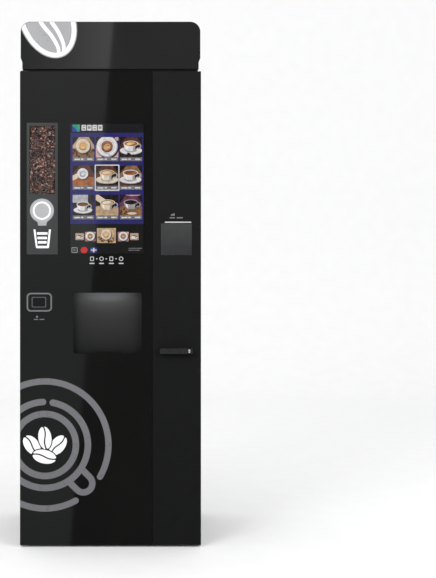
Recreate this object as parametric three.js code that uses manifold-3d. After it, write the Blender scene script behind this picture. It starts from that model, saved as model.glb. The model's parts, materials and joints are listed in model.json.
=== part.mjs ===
// Hot coffee vending machine, millimetres, +Z up. The origin is the centre of the
// footprint on the floor, the front faces -Y and +X is to the right of someone facing it.
import * as THREE from 'three';
import { mergeVertices } from 'three/addons/utils/BufferGeometryUtils.js';
import Module from 'manifold-3d';

const wasm = await Module();
wasm.setup();

// ---- driving dimensions -------------------------------------------------------------
const HALF = 332.5; // half of the cabinet's width
const FRONT = -268; // front of the door's glass
const BACK = 292; // rear of the cabinet
const SKIN = 2; // sheet thickness
const GAP = 0.3; // between fixed neighbours
const CASE_FRONT = -204; // front of the cabinet behind the door
const DOOR_BACK = -210;
const DOOR_FRAME_FRONT = FRONT + 5.3; // rear of the 5 mm front panels
const DOOR_BOTTOM = 7;
const DOOR_TOP = 1748;
const PLINTH = [7, 100]; // bottom and top of the base plinth
const SILL_TOP = 118;
const CASE_TOP = 1752;
const HOOD_BOTTOM = 1757;
const HEIGHT = 1930;
const HOOD_HALF = 330;
const HOOD_WAIST_HALF = 324;
const HOOD_CORNER = 37;
const FLANGE = 25; // front return of the side panels
const PIVOT = [-318, -250]; // door hinge axis, x and y
const PIN_RADIUS = 5;
const SEAM = 154; // between the glass and the right-hand fascia
const OUTLET = { x: [-136, 115], z: [711, 934] }; // cup outlet in the door
const SCREEN = { x: [-149, 123], z: [1076, 1558] };
const BEANS = { x: [-308, -194], z: [1075, 1559] };
const POCKET = { x: [184, 300], z: [1071, 1190] };
const LOCK = { x: 288, z: 721, radius: 6 };
const MIXER_SHELF = { x: [-81, 203], z: [1058, 1081], front: -170 };
const LOWER_SHELF = { z: [681, 700], front: -190 };
const BULKHEAD_Y = 100.3;
const CANISTER = { count: 6, pitch: 68, width: 66, left: -105, y: [-150, 80], z: [1319, 1571] };

// ---- materials ----------------------------------------------------------------------
const finish = (color, roughness, metalness = 0) => () =>
  new THREE.MeshStandardMaterial({ color, roughness, metalness });
const blackSteel = finish(0x1c1d1d, 0.55, 0.2);
const glossBlack = finish(0x161616, 0.08);
const mattBlack = finish(0x232424, 0.6);
const blackPlastic = finish(0x141414, 0.45);
const rubber = finish(0x0e0e0e, 0.85);
const greySteel = finish(0x8b8d92, 0.5, 0.4);
const whitePlastic = finish(0xeceef2, 0.4);
const greyPlastic = finish(0x6b6d72, 0.5);
const silver = finish(0xb9bcc0, 0.35, 0.8);
const smoked = finish(0x2a2a2c, 0.15);
const lamp = finish(0xf4f7ff, 0.3);
const screenBlue = finish(0x33316e, 0.1);

// ---- geometry helpers ---------------------------------------------------------------
function block([x0, x1], [y0, y1], [z0, z1]) {
  const shape = new THREE.BoxGeometry(x1 - x0, y1 - y0, z1 - z0);
  return shape.translate((x0 + x1) / 2, (y0 + y1) / 2, (z0 + z1) / 2);
}

// An outline of [x, z] points, pushed back from y0 to y1.
function facePrism(points, [y0, y1]) {
  const outline = new THREE.Shape(points.map(([x, z]) => new THREE.Vector2(x, z)));
  return facePrismOf(outline, [y0, y1]);
}

function facePrismOf(outline, [y0, y1], curveSegments = 6) {
  const shape = new THREE.ExtrudeGeometry(outline, { depth: y1 - y0, bevelEnabled: false, curveSegments });
  return shape.rotateX(Math.PI / 2).translate(0, y1, 0);
}

// An outline of [y, z] points, pushed sideways from x0 to x1.
function sidePrism(points, [x0, x1]) {
  const outline = new THREE.Shape(points.map(([y, z]) => new THREE.Vector2(y, z)));
  const shape = new THREE.ExtrudeGeometry(outline, { depth: x1 - x0, bevelEnabled: false });
  return shape.rotateX(Math.PI / 2).rotateZ(Math.PI / 2).translate(x0, 0, 0);
}

// An outline of [x, y] points, raised from z0 to z1.
function planPrism(points, [z0, z1]) {
  const outline = new THREE.Shape(points.map(([x, y]) => new THREE.Vector2(x, y)));
  return new THREE.ExtrudeGeometry(outline, { depth: z1 - z0, bevelEnabled: false }).translate(0, 0, z0);
}

function roundedRectangle([x0, x1], [z0, z1], radius) {
  const outline = new THREE.Shape();
  outline.moveTo(x0 + radius, z0);
  outline.lineTo(x1 - radius, z0);
  outline.absarc(x1 - radius, z0 + radius, radius, -Math.PI / 2, 0);
  outline.lineTo(x1, z1 - radius);
  outline.absarc(x1 - radius, z1 - radius, radius, 0, Math.PI / 2);
  outline.lineTo(x0 + radius, z1);
  outline.absarc(x0 + radius, z1 - radius, radius, Math.PI / 2, Math.PI);
  outline.lineTo(x0, z0 + radius);
  outline.absarc(x0 + radius, z0 + radius, radius, Math.PI, Math.PI * 1.5);
  return outline;
}

// A turned piece standing on +Z: profile is [radius, height] from axis to axis.
function turned(profile, [x, y], segments = 24) {
  const points = profile.map(([radius, height]) => new THREE.Vector2(radius, height));
  return new THREE.LatheGeometry(points, segments).rotateX(Math.PI / 2).translate(x, y, 0);
}

function uprightRod(radius, [x, y], [z0, z1], segments = 24) {
  const rod = new THREE.CylinderGeometry(radius, radius, z1 - z0, segments).rotateX(Math.PI / 2);
  return rod.translate(x, y, (z0 + z1) / 2);
}

function frontRod(radius, [x, z], [y0, y1], segments = 24) {
  const rod = new THREE.CylinderGeometry(radius, radius, y1 - y0, segments);
  return rod.translate(x, (y0 + y1) / 2, z);
}

function solid(geometry) {
  const bare = geometry.clone();
  bare.deleteAttribute('normal');
  bare.deleteAttribute('uv');
  const merged = mergeVertices(bare, 1e-4);
  return new wasm.Manifold(new wasm.Mesh({
    numProp: 3,
    vertProperties: Float32Array.from(merged.attributes.position.array),
    triVerts: Uint32Array.from(merged.index.array),
  }));
}

function surface(body) {
  const mesh = body.getMesh();
  const geometry = new THREE.BufferGeometry();
  geometry.setAttribute('position', new THREE.BufferAttribute(mesh.vertProperties, 3));
  geometry.setIndex(new THREE.BufferAttribute(mesh.triVerts, 1));
  geometry.computeVertexNormals();
  return geometry;
}

const cut = (base, ...tools) => surface(tools.reduce((body, tool) => body.subtract(solid(tool)), solid(base)));
const join = (base, ...more) => surface(more.reduce((body, piece) => body.add(solid(piece)), solid(base)));

const machine = new THREE.Group();
function piece(name, geometry, material) {
  const mesh = new THREE.Mesh(geometry, material());
  mesh.name = name;
  machine.add(mesh);
}

const centre = ([low, high]) => (low + high) / 2;
const inset = ([low, high], by) => [low + by, high - by];

// ---- cabinet ------------------------------------------------------------------------
const INNER = HALF - SKIN - GAP; // half width between the side panels

function sidePanel(side) {
  const outer = side * HALF;
  const wall = side * (HALF - SKIN);
  const lip = side * (HALF - SKIN - FLANGE);
  return planPrism([
    [outer, CASE_FRONT], [outer, BACK], [lip, BACK], [lip, BACK - SKIN], [wall, BACK - SKIN],
    [wall, CASE_FRONT + SKIN], [lip, CASE_FRONT + SKIN], [lip, CASE_FRONT],
  ], [PLINTH[0], CASE_TOP]);
}

const SILL_LEAN = 12; // how far the sill's upper edge leans back

function basePlinth() {
  const x = [-INNER, INNER];
  const y = [CASE_FRONT + SKIN + SILL_LEAN + GAP, BACK - SKIN - GAP];
  const hollow = block(inset(x, SKIN), [y[0] + SKIN, y[1] + 1], inset(PLINTH, SKIN)); // open behind
  return cut(block(x, y, PLINTH), hollow);
}

function frontSill() {
  const flangeEdge = HALF - SKIN - FLANGE - GAP;
  const back = CASE_FRONT + SKIN;
  const fold = 82;
  return sidePrism([
    [CASE_FRONT, PLINTH[0]], [back, PLINTH[0]], [back, fold], [back + SILL_LEAN, SILL_TOP], [CASE_FRONT + SILL_LEAN, SILL_TOP],
    [CASE_FRONT, fold],
  ], [-flangeEdge, flangeEdge]);
}

const INLET = { x: [232, 282], z: [160, 192] };

function rearPanel() {
  const y = [BACK - 2 * SKIN - GAP, BACK - SKIN - GAP];
  const louvres = [];
  for (let row = 0; row < 7; row += 1) {
    const z = 1180 + row * 34;
    louvres.push(block([-150, -10], [y[0] - 1, y[1] + 1], [z, z + 10]));
    louvres.push(block([10, 150], [y[0] - 1, y[1] + 1], [z, z + 10]));
  }
  const inlet = block(INLET.x, [y[0] - 1, y[1] + 1], INLET.z);
  return cut(block([-INNER, INNER], y, [PLINTH[1] + GAP, CASE_TOP - SKIN - GAP]), inlet, ...louvres);
}

function powerInlet() {
  const body = block(inset(INLET.x, GAP), [262, BACK - 1], inset(INLET.z, GAP));
  const socket = block(inset(INLET.x, 10), [272, BACK], inset(INLET.z, 6));
  const blades = [-9, 0, 9].map((x) => block([centre(INLET.x) + x - 1, centre(INLET.x) + x + 1], [271, 284], [172, 180]));
  return join(cut(body, socket), ...blades);
}

function ceilingPanel() {
  const front = CASE_FRONT + SKIN + GAP;
  const rear = BACK - SKIN - GAP;
  return sidePrism([
    [front, 1722], [front + SKIN, 1722], [front + SKIN, CASE_TOP - SKIN], [rear, CASE_TOP - SKIN],
    [rear, CASE_TOP], [front, CASE_TOP],
  ], [-INNER, INNER]);
}

function hoodOutline(shrink = 0) {
  const half = HOOD_HALF - shrink;
  const radius = HOOD_CORNER - shrink;
  const top = HEIGHT - shrink;
  const bottom = HOOD_BOTTOM + shrink;
  const outline = new THREE.Shape();
  outline.moveTo(-HOOD_WAIST_HALF + shrink, bottom);
  outline.lineTo(HOOD_WAIST_HALF - shrink, bottom);
  outline.lineTo(HOOD_WAIST_HALF - shrink, 1778);
  outline.quadraticCurveTo(HOOD_WAIST_HALF - shrink + 1, 1788, half, 1796);
  outline.lineTo(half, top - radius);
  outline.absarc(half - radius, top - radius, radius, 0, Math.PI / 2);
  outline.lineTo(-half + radius, top);
  outline.absarc(-half + radius, top - radius, radius, Math.PI / 2, Math.PI);
  outline.lineTo(-half, 1796);
  outline.quadraticCurveTo(-HOOD_WAIST_HALF + shrink - 1, 1788, -HOOD_WAIST_HALF + shrink, 1778);
  return outline;
}

function hoodShell() {
  const y = [FRONT + 5.3, BACK];
  const shell = solid(facePrismOf(hoodOutline(), y));
  const hollow = solid(facePrismOf(hoodOutline(SKIN), [y[0] - 1, y[1] - SKIN]));
  const plinth = solid(block([-318, 318], [-255, BACK - 4], [CASE_TOP + GAP, HOOD_BOTTOM + 1]));
  const vent = solid(block([-290, 290], [-230, BACK - 30], [CASE_TOP - 1, HOOD_BOTTOM + SKIN + 1]));
  return surface(shell.subtract(hollow).add(plinth).subtract(vent));
}

function foot([x, y]) {
  const top = PLINTH[0] - GAP;
  return turned([[0, 0], [20, 0], [22, 1.2], [22, 3.4], [18, 4.4], [8, 5], [8, top], [0, top]], [x, y]);
}

function doorSeal() {
  const y = [-206.8, CASE_FRONT - GAP];
  return cut(
    facePrismOf(roundedRectangle([-326, 326], [28, 1744], 8), y),
    facePrismOf(roundedRectangle([-310, 310], [44, 1728], 6), [y[0] - 1, y[1] + 1]),
  );
}

function hingeBracket(z, pin) {
  const y = [PIVOT[1] - 12, z[0] > HEIGHT / 2 ? CASE_FRONT - GAP : -150];
  return join(block([-329, -304], y, z), uprightRod(PIN_RADIUS, PIVOT, pin));
}

piece('base_plinth', basePlinth(), blackSteel);
piece('front_sill', frontSill(), blackSteel);
piece('side_panel_left', sidePanel(-1), blackSteel);
piece('side_panel_right', sidePanel(1), blackSteel);
piece('rear_panel', rearPanel(), blackSteel);
piece('power_inlet', powerInlet(), blackPlastic);
piece('ceiling_panel', ceilingPanel(), blackSteel);
piece('hood_shell', hoodShell(), blackSteel);
piece('hood_fascia', facePrismOf(hoodOutline(), [FRONT, FRONT + 5]), glossBlack);
piece('foot_front_left', foot([-280, -160]), rubber);
piece('foot_front_right', foot([280, -160]), rubber);
piece('foot_rear_left', foot([-280, 250]), rubber);
piece('foot_rear_right', foot([280, 250]), rubber);
piece('door_seal', doorSeal(), rubber);
piece('hinge_top', hingeBracket([DOOR_TOP + 0.6, CASE_TOP - 0.1], [DOOR_TOP - 10, DOOR_TOP + 2]), greySteel);
piece('hinge_bottom', hingeBracket([DOOR_BOTTOM - 3.6, DOOR_BOTTOM - 0.4], [DOOR_BOTTOM - 2, DOOR_BOTTOM + 10]), greySteel);

// ---- equipment frame ----------------------------------------------------------------
function bulkhead() {
  const y = [BULKHEAD_Y, BULKHEAD_Y + SKIN];
  const through = inset(y, -1);
  const plate = block([-252, INNER], y, [LOWER_SHELF.z[1] + GAP, 1722]);
  const openings = [block([-49, 23], through, [1622, 1663])];
  for (let slot = 0; slot < 5; slot += 1) {
    const x = 171 + slot * 22;
    openings.push(block([x, x + 8], through, [1622, 1663]));
  }
  for (let slot = 0; slot < 6; slot += 1) {
    const z = 1372 + slot * 22;
    openings.push(block([-150, -114], through, [z, z + 9]));
  }
  return cut(plate, ...openings);
}

function shelf(x, [z0, z1], [front, back]) {
  return sidePrism([
    [front, z0], [front + SKIN, z0], [front + SKIN, z1 - SKIN], [back, z1 - SKIN], [back, z1], [front, z1],
  ], x);
}

function ventGrille() {
  const x = [-139, -26];
  const z = [155, 420];
  const y = [268, 271];
  const holes = [];
  for (let column = 0; column < 5; column += 1) {
    for (let row = 0; row < 11; row += 1) {
      const left = x[0] + 9 + column * 20;
      const low = z[0] + 10 + row * 22.8;
      holes.push(block([left, left + 14], inset(y, -1), [low, low + 15]));
    }
  }
  const feet = [z[0] + 2, z[1] - 6].flatMap((low) =>
    [x[0] + 2, x[1] - 6].map((left) => block([left, left + 4], [y[1] - 0.5, BACK - 2 * (SKIN + GAP)], [low, low + 4])));
  return join(cut(block(x, y, z), ...holes), ...feet);
}

piece('bulkhead', bulkhead(), greySteel);
piece('mixer_shelf', shelf(MIXER_SHELF.x, MIXER_SHELF.z, [MIXER_SHELF.front, BULKHEAD_Y - GAP]), whitePlastic);
piece('lower_shelf', shelf([-INNER, INNER], LOWER_SHELF.z, [LOWER_SHELF.front, 120]), whitePlastic);
piece('vent_grille', ventGrille(), whitePlastic);
piece('led_bar', block([-227, 265], [-112, -94], [CASE_TOP - SKIN - 14, CASE_TOP - SKIN - GAP]), lamp);

// ---- powder side --------------------------------------------------------------------
function canister(x) {
  const wall = 2.5;
  const outer = facePrismOf(roundedRectangle(x, CANISTER.z, 3), CANISTER.y, 2);
  const hollow = block(inset(x, wall), inset(CANISTER.y, wall), [CANISTER.z[0] + wall, CANISTER.z[1] + 1]);
  const outlet = block([centre(x) - 14, centre(x) + 14], [CANISTER.y[0] + 14, CANISTER.y[0] + 50],
    [CANISTER.z[0] - 1, CANISTER.z[0] + wall + 1]);
  return cut(outer, hollow, outlet);
}

const LID_GAP = 0.4;

function canisterLid(x) {
  const z0 = CANISTER.z[1] + LID_GAP;
  const y = [CANISTER.y[0] - 2, CANISTER.y[1]];
  return sidePrism([[y[0], z0], [y[1], z0], [y[1], z0 + 8], [y[0] + 14, z0 + 11], [y[0], z0 + 7]], x);
}

for (let number = 0; number < CANISTER.count; number += 1) {
  const left = CANISTER.left + number * CANISTER.pitch + 1;
  const x = [left, left + CANISTER.width];
  piece(`canister_${number + 1}`, canister(x), whitePlastic);
  piece(`canister_lid_${number + 1}`, canisterLid(x), whitePlastic);
}

// A funnel below a run of canisters, open above and below.
function chute([x0, x1], [spout0, spout1], [top, shoulder, bottom]) {
  const y = [-150, -60];
  const wall = 2.5;
  const outline = (by, low, high) => [
    [x0 + by, high], [x0 + by, shoulder], [spout0 + by, low], [spout1 - by, low], [x1 - by, shoulder], [x1 - by, high],
  ];
  return cut(facePrism(outline(0, bottom, top), y), facePrism(outline(wall, bottom - 1, top + 1), inset(y, wall)));
}

const CHUTE_TOP = CANISTER.z[0] - GAP;
const edge = (index) => CANISTER.left + index * CANISTER.pitch;
piece('chute_1', chute([edge(0) + 1, edge(2) - 1], [-64, -8], [CHUTE_TOP, 1250, 1212]), whitePlastic);
piece('chute_2', chute([edge(2) + 1, edge(5) - 1], [71, 195], [CHUTE_TOP, 1250, 1212]), whitePlastic);
piece('chute_3', chute([edge(5) + 1, edge(6) - 1], [238, 256], [CHUTE_TOP, 1262, 1226]), whitePlastic);

// A mixing bowl on its drive block, open above.
function mixingUnit(x, radius, [z0, z1]) {
  const y = -105;
  const middle = (z0 + z1) / 2;
  const bowl = turned([
    [0, middle - 4], [radius - 7, middle - 4], [radius, middle + 12], [radius, z1], [radius - 3, z1],
    [radius - 3, middle + 14], [radius - 10, middle], [0, middle],
  ], [x, y]);
  const half = radius - 2;
  const drive = block([x - half, x + half], [y - half, BULKHEAD_Y - GAP], [z0, middle - 2]);
  const arm = block([x - half + 6, x + half - 6], [y + radius - 4, y + 55], [middle - 6, z1 - 10]);
  return join(drive, bowl, arm);
}

const ON_SHELF = MIXER_SHELF.z[1] + GAP;
[-36, 100, 167].forEach((x, index) => {
  piece(`mixing_unit_${index + 1}`, mixingUnit(x, 27, [ON_SHELF, 1209]), blackPlastic);
});
piece('mixing_unit_4', mixingUnit(254, 46, [1060, 1222]), blackPlastic);

// ---- coffee side --------------------------------------------------------------------
const HOPPER = { x: [-295, -125], y: [-130, 40], z: [1370, 1435, 1566] };

function beanHopper() {
  const [x0, x1] = HOPPER.x;
  const [throat, shoulder, top] = HOPPER.z;
  const outline = (wall, low, high) => [
    [x0 + wall, high], [x0 + wall, shoulder], [-274 + wall, low], [-231 - wall, low],
    [x1 - wall, shoulder], [x1 - wall, top - 40], [x1 - 31 - wall, high],
  ];
  return cut(facePrism(outline(0, throat, top), HOPPER.y),
    facePrism(outline(3, throat - 1, top + 1), inset(HOPPER.y, 3)));
}

function hopperLid() {
  const z = [HOPPER.z[2] + LID_GAP, HOPPER.z[2] + 7];
  const plate = block([HOPPER.x[0], HOPPER.x[1] - 29], HOPPER.y, z);
  const grip = block([-240, -190], [HOPPER.y[0] + 12, HOPPER.y[0] + 26], [z[1] - 1, z[1] + 9]);
  return join(plate, grip);
}

function grinder() {
  const body = facePrism([[-288, 1272], [-167, 1272], [-167, 1356], [-178, 1369.7], [-277, 1369.7], [-288, 1356]],
    [-112, 30]);
  const inside = block([-284, -171], [-92, 26], [1271, 1340]);
  return cut(body, block([-236, -222], [-113, -96], [1284, 1350]), inside);
}

function brewer() {
  const y = [-120, 60];
  const body = facePrism([
    [-250, 1256], [-250, 1246], [-290, 1246], [-295, 1236], [-295, 1100], [-284, 1076], [-290, 1030],
    [-295, 1022], [-295, 975], [-288, 966], [-178, 966], [-172, 975], [-166, 1022], [-160, 1062],
    [-176, 1112], [-176, 1236], [-182, 1246], [-212, 1246], [-212, 1256],
  ], y);
  const recess = block([-276, -196], [y[0] - 1, y[0] + 6], [1128, 1226]);
  const gearbox = block([-180, -128], [-60, 50], [1068, 1268]);
  return join(cut(body, recess), gearbox);
}

const BIN = { x: [-295, -152], y: [-135, 60], z: [LOWER_SHELF.z[1] + GAP, 944] };

function wasteBin() {
  const [z0, z1] = BIN.z;
  const outline = (wall) => [
    [BIN.x[0] + 8 + wall, z0 + wall], [BIN.x[1] - 18 - wall, z0 + wall], [BIN.x[1] - 6 - wall, z1 - 34],
    [BIN.x[1] - 6 - wall, z1 + wall], [BIN.x[0] + 3 + wall, z1 + wall],
  ];
  const body = facePrism(outline(0), inset(BIN.y, 4));
  const rim = block(BIN.x, BIN.y, [z1 - 30, z1]);
  return surface(solid(body).add(solid(rim)).subtract(solid(facePrism(outline(3), inset(BIN.y, 8)))));
}

piece('bean_hopper', beanHopper(), smoked);
piece('hopper_lid', hopperLid(), smoked);
piece('grinder', grinder(), silver);
piece('brewer', brewer(), greyPlastic);
piece('waste_bin', wasteBin(), greyPlastic);

// ---- cup station and services -------------------------------------------------------
const TRAY = { x: [-140, 95], y: [-135, 38], z: [LOWER_SHELF.z[1] + GAP, 732] };

function dripTray() {
  return cut(block(TRAY.x, TRAY.y, TRAY.z),
    block(inset(TRAY.x, SKIN), inset(TRAY.y, SKIN), [TRAY.z[0] + SKIN, TRAY.z[1] + 1]));
}

function dripGrate() {
  const z = [TRAY.z[1] + GAP, TRAY.z[1] + 3];
  const slots = [];
  for (let slot = 0; slot < 12; slot += 1) {
    const x = TRAY.x[0] + 16 + slot * 17.6;
    slots.push(block([x, x + 9], inset(TRAY.y, 14), inset(z, -1)));
  }
  return cut(block(TRAY.x, TRAY.y, z), ...slots);
}

function controlBox() {
  const y = [44, BULKHEAD_Y - GAP];
  const box = cut(block([-69, 140], y, [745, 905]), block([-67, 138], [y[0] + 2, y[1] + 1], [747, 903]));
  const door = block([20, 128], [y[0] - 2, y[0] + 1], [752, 868]);
  return join(box, door);
}

function valveBox() {
  const y = [20, 100];
  const under = LOWER_SHELF.z[1] - SKIN - GAP;
  const upper = cut(block([151, 282], y, [603, under]),
    block([168, 206], [y[0] - 1, y[0] + 10], [624, 652]), block([222, 264], [y[0] - 1, y[0] + 10], [624, 652]));
  return join(upper, block([158, 237], y, [507, 604]), uprightRod(11, [197, 60], [486, 508]),
    block([120, 159], [50, 70], [530, 552]));
}

// A moulded can: its front right corner is drawn back, and its cap sits low towards the rear.
function waterCan() {
  const x = [-306, -91];
  const y = [-140, 150];
  const z = [PLINTH[1] + GAP, 508];
  const plan = planPrism([
    [x[0] + 10, y[0]], [-142, y[0]], [-118, y[0] + 12], [-104, y[0] + 34], [x[1], y[0] + 82], [x[1], y[1] - 10],
    [x[1] - 10, y[1]], [x[0] + 10, y[1]], [x[0], y[1] - 10], [x[0], y[0] + 10],
  ], z);
  const face = facePrismOf(roundedRectangle(x, z, 28), inset(y, -1), 5);
  const cap = uprightRod(24, [centre(x), 90], [z[1] - 1, z[1] + 9]);
  return surface(solid(plan).intersect(solid(face)).add(solid(cap)));
}

piece('drip_tray', dripTray(), blackPlastic);
piece('drip_grate', dripGrate(), silver);
piece('control_box', controlBox(), greyPlastic);
piece('valve_box', valveBox(), greyPlastic);
piece('water_can', waterCan(), whitePlastic);

// ---- door ---------------------------------------------------------------------------
const SHAFT_RADIUS = 8;
const RUNNING = 0.4;

function doorTray() {
  const y = [DOOR_FRAME_FRONT, DOOR_BACK];
  const shell = block([-HALF, HALF], y, [DOOR_BOTTOM, DOOR_TOP]);
  const hollow = block([-HALF + SKIN, HALF - SKIN], [y[0] - 1, y[1] - SKIN], [DOOR_BOTTOM + SKIN, DOOR_TOP - SKIN]);
  const outlet = block(OUTLET.x, inset(y, -1), OUTLET.z);
  const pins = uprightRod(PIN_RADIUS + RUNNING, PIVOT, [DOOR_BOTTOM - 1, DOOR_TOP + 1]);
  return cut(shell, hollow, outlet, pins);
}

function doorGlass() {
  const y = [FRONT, FRONT + 5];
  const through = inset(y, -1);
  return cut(block([-HALF, SEAM - 0.6], y, [DOOR_BOTTOM, DOOR_TOP]),
    block(inset(SCREEN.x, -GAP), through, inset(SCREEN.z, -GAP)),
    block(inset(BEANS.x, -GAP), through, inset(BEANS.z, -GAP)),
    facePrismOf(roundedRectangle(OUTLET.x, OUTLET.z, 3), through, 2));
}

function sideFascia() {
  const y = [FRONT, FRONT + 5];
  const through = inset(y, -1);
  return cut(block([SEAM + 0.6, HALF], y, [DOOR_BOTTOM, DOOR_TOP]),
    block(POCKET.x, through, POCKET.z),
    frontRod(SHAFT_RADIUS + RUNNING, [LOCK.x, LOCK.z], through));
}

function pocketTray() {
  const y = [DOOR_FRAME_FRONT + GAP, -216];
  return cut(block(inset(POCKET.x, -SKIN), y, inset(POCKET.z, -SKIN)),
    block(POCKET.x, [y[0] - 1, y[1] - SKIN], POCKET.z));
}

function pocketFlap() {
  return block(inset(POCKET.x, 0.8), [FRONT + 1, FRONT + 4], [POCKET.z[0] + 0.8, POCKET.z[1] - 1]);
}

function outletDoor() {
  const plate = block([-142, 121], [-242, -238], [705, 940]);
  const grip = block([-60, 40], [-246, -241], [716, 724]);
  return join(plate, grip);
}

const HANDLE = { x: [181, 301], z: [711, 731], y: [-291.5, -273] };

function handle() {
  const bar = facePrismOf(roundedRectangle(HANDLE.x, HANDLE.z, 4), HANDLE.y, 3);
  const boss = frontRod(9.5, [LOCK.x, LOCK.z], [HANDLE.y[1] - 1, FRONT - 0.4]);
  const shaft = frontRod(SHAFT_RADIUS, [LOCK.x, LOCK.z], [FRONT - 1, -240]);
  const cam = block([LOCK.x - 44, LOCK.x + 10], [-240.5, -236.5], [LOCK.z - 9, LOCK.z + 9]);
  const bore = frontRod(LOCK.radius + GAP, [LOCK.x, LOCK.z], [HANDLE.y[0] - 1, -262]);
  return surface([boss, shaft, cam].reduce((body, more) => body.add(solid(more)), solid(bar)).subtract(solid(bore)));
}

function lockCylinder() {
  const body = frontRod(LOCK.radius, [LOCK.x, LOCK.z], [-BACK, -262.4]);
  return cut(body, block([LOCK.x - 0.8, LOCK.x + 0.8], [-BACK - 1, -282], [LOCK.z - 3.2, LOCK.z + 3.2]));
}

piece('door_tray', doorTray(), blackSteel);
piece('door_glass', doorGlass(), glossBlack);
piece('side_fascia', sideFascia(), mattBlack);
piece('touch_screen', block(SCREEN.x, [FRONT + 0.3, -244], SCREEN.z), screenBlue);
piece('bean_display', block(BEANS.x, [FRONT + 0.3, -250], BEANS.z), greyPlastic);
piece('pocket_tray', pocketTray(), blackPlastic);
piece('pocket_flap', pocketFlap(), mattBlack);
piece('outlet_door', outletDoor(), smoked);
piece('door_handle', handle(), mattBlack);
piece('lock_cylinder', lockCylinder(), silver);

export default machine;
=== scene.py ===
"""Looks of the hot coffee vending machine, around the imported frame. Metres, front faces -Y."""
import json
import math
import random

import bmesh
import bpy
from mathutils import Matrix, Vector

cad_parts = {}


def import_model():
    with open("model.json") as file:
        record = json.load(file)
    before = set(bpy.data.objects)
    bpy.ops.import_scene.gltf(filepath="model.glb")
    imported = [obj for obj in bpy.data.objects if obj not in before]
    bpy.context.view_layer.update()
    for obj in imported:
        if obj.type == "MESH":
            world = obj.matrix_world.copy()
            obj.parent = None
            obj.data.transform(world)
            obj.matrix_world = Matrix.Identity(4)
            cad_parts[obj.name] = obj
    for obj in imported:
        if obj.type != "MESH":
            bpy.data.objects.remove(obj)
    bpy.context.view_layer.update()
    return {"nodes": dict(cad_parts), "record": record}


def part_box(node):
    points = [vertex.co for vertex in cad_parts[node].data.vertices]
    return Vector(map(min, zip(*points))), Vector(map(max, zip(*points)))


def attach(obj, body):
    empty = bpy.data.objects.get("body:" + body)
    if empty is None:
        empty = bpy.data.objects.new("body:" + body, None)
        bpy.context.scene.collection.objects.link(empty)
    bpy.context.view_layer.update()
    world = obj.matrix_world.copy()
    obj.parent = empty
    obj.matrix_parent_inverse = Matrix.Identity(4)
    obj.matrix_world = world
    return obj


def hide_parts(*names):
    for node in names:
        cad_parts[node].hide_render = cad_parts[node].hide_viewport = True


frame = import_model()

MM = 0.001
random.seed(11)
scene = bpy.context.scene


def mm_box(node):
    """A CAD node's lowest and highest corner, in millimetres."""
    low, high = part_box(node)
    return [v * 1000 for v in low], [v * 1000 for v in high]


FACE = mm_box("door_glass")[0][1]  # front of the glass
EDGE_X = mm_box("door_glass")[0][0]  # left edge of the glass
PRINT = 0.25  # how proud a printed graphic stands
SUNK = 0.05  # how far a graphic's back lies inside the face that carries it
RING_CENTRE = (-241.0, 375.0)
RINGS = [(102, 126), (146, 170), (222, 245)]  # inner and outer radius
GRAIN_DEPTH = 0.00012


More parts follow.
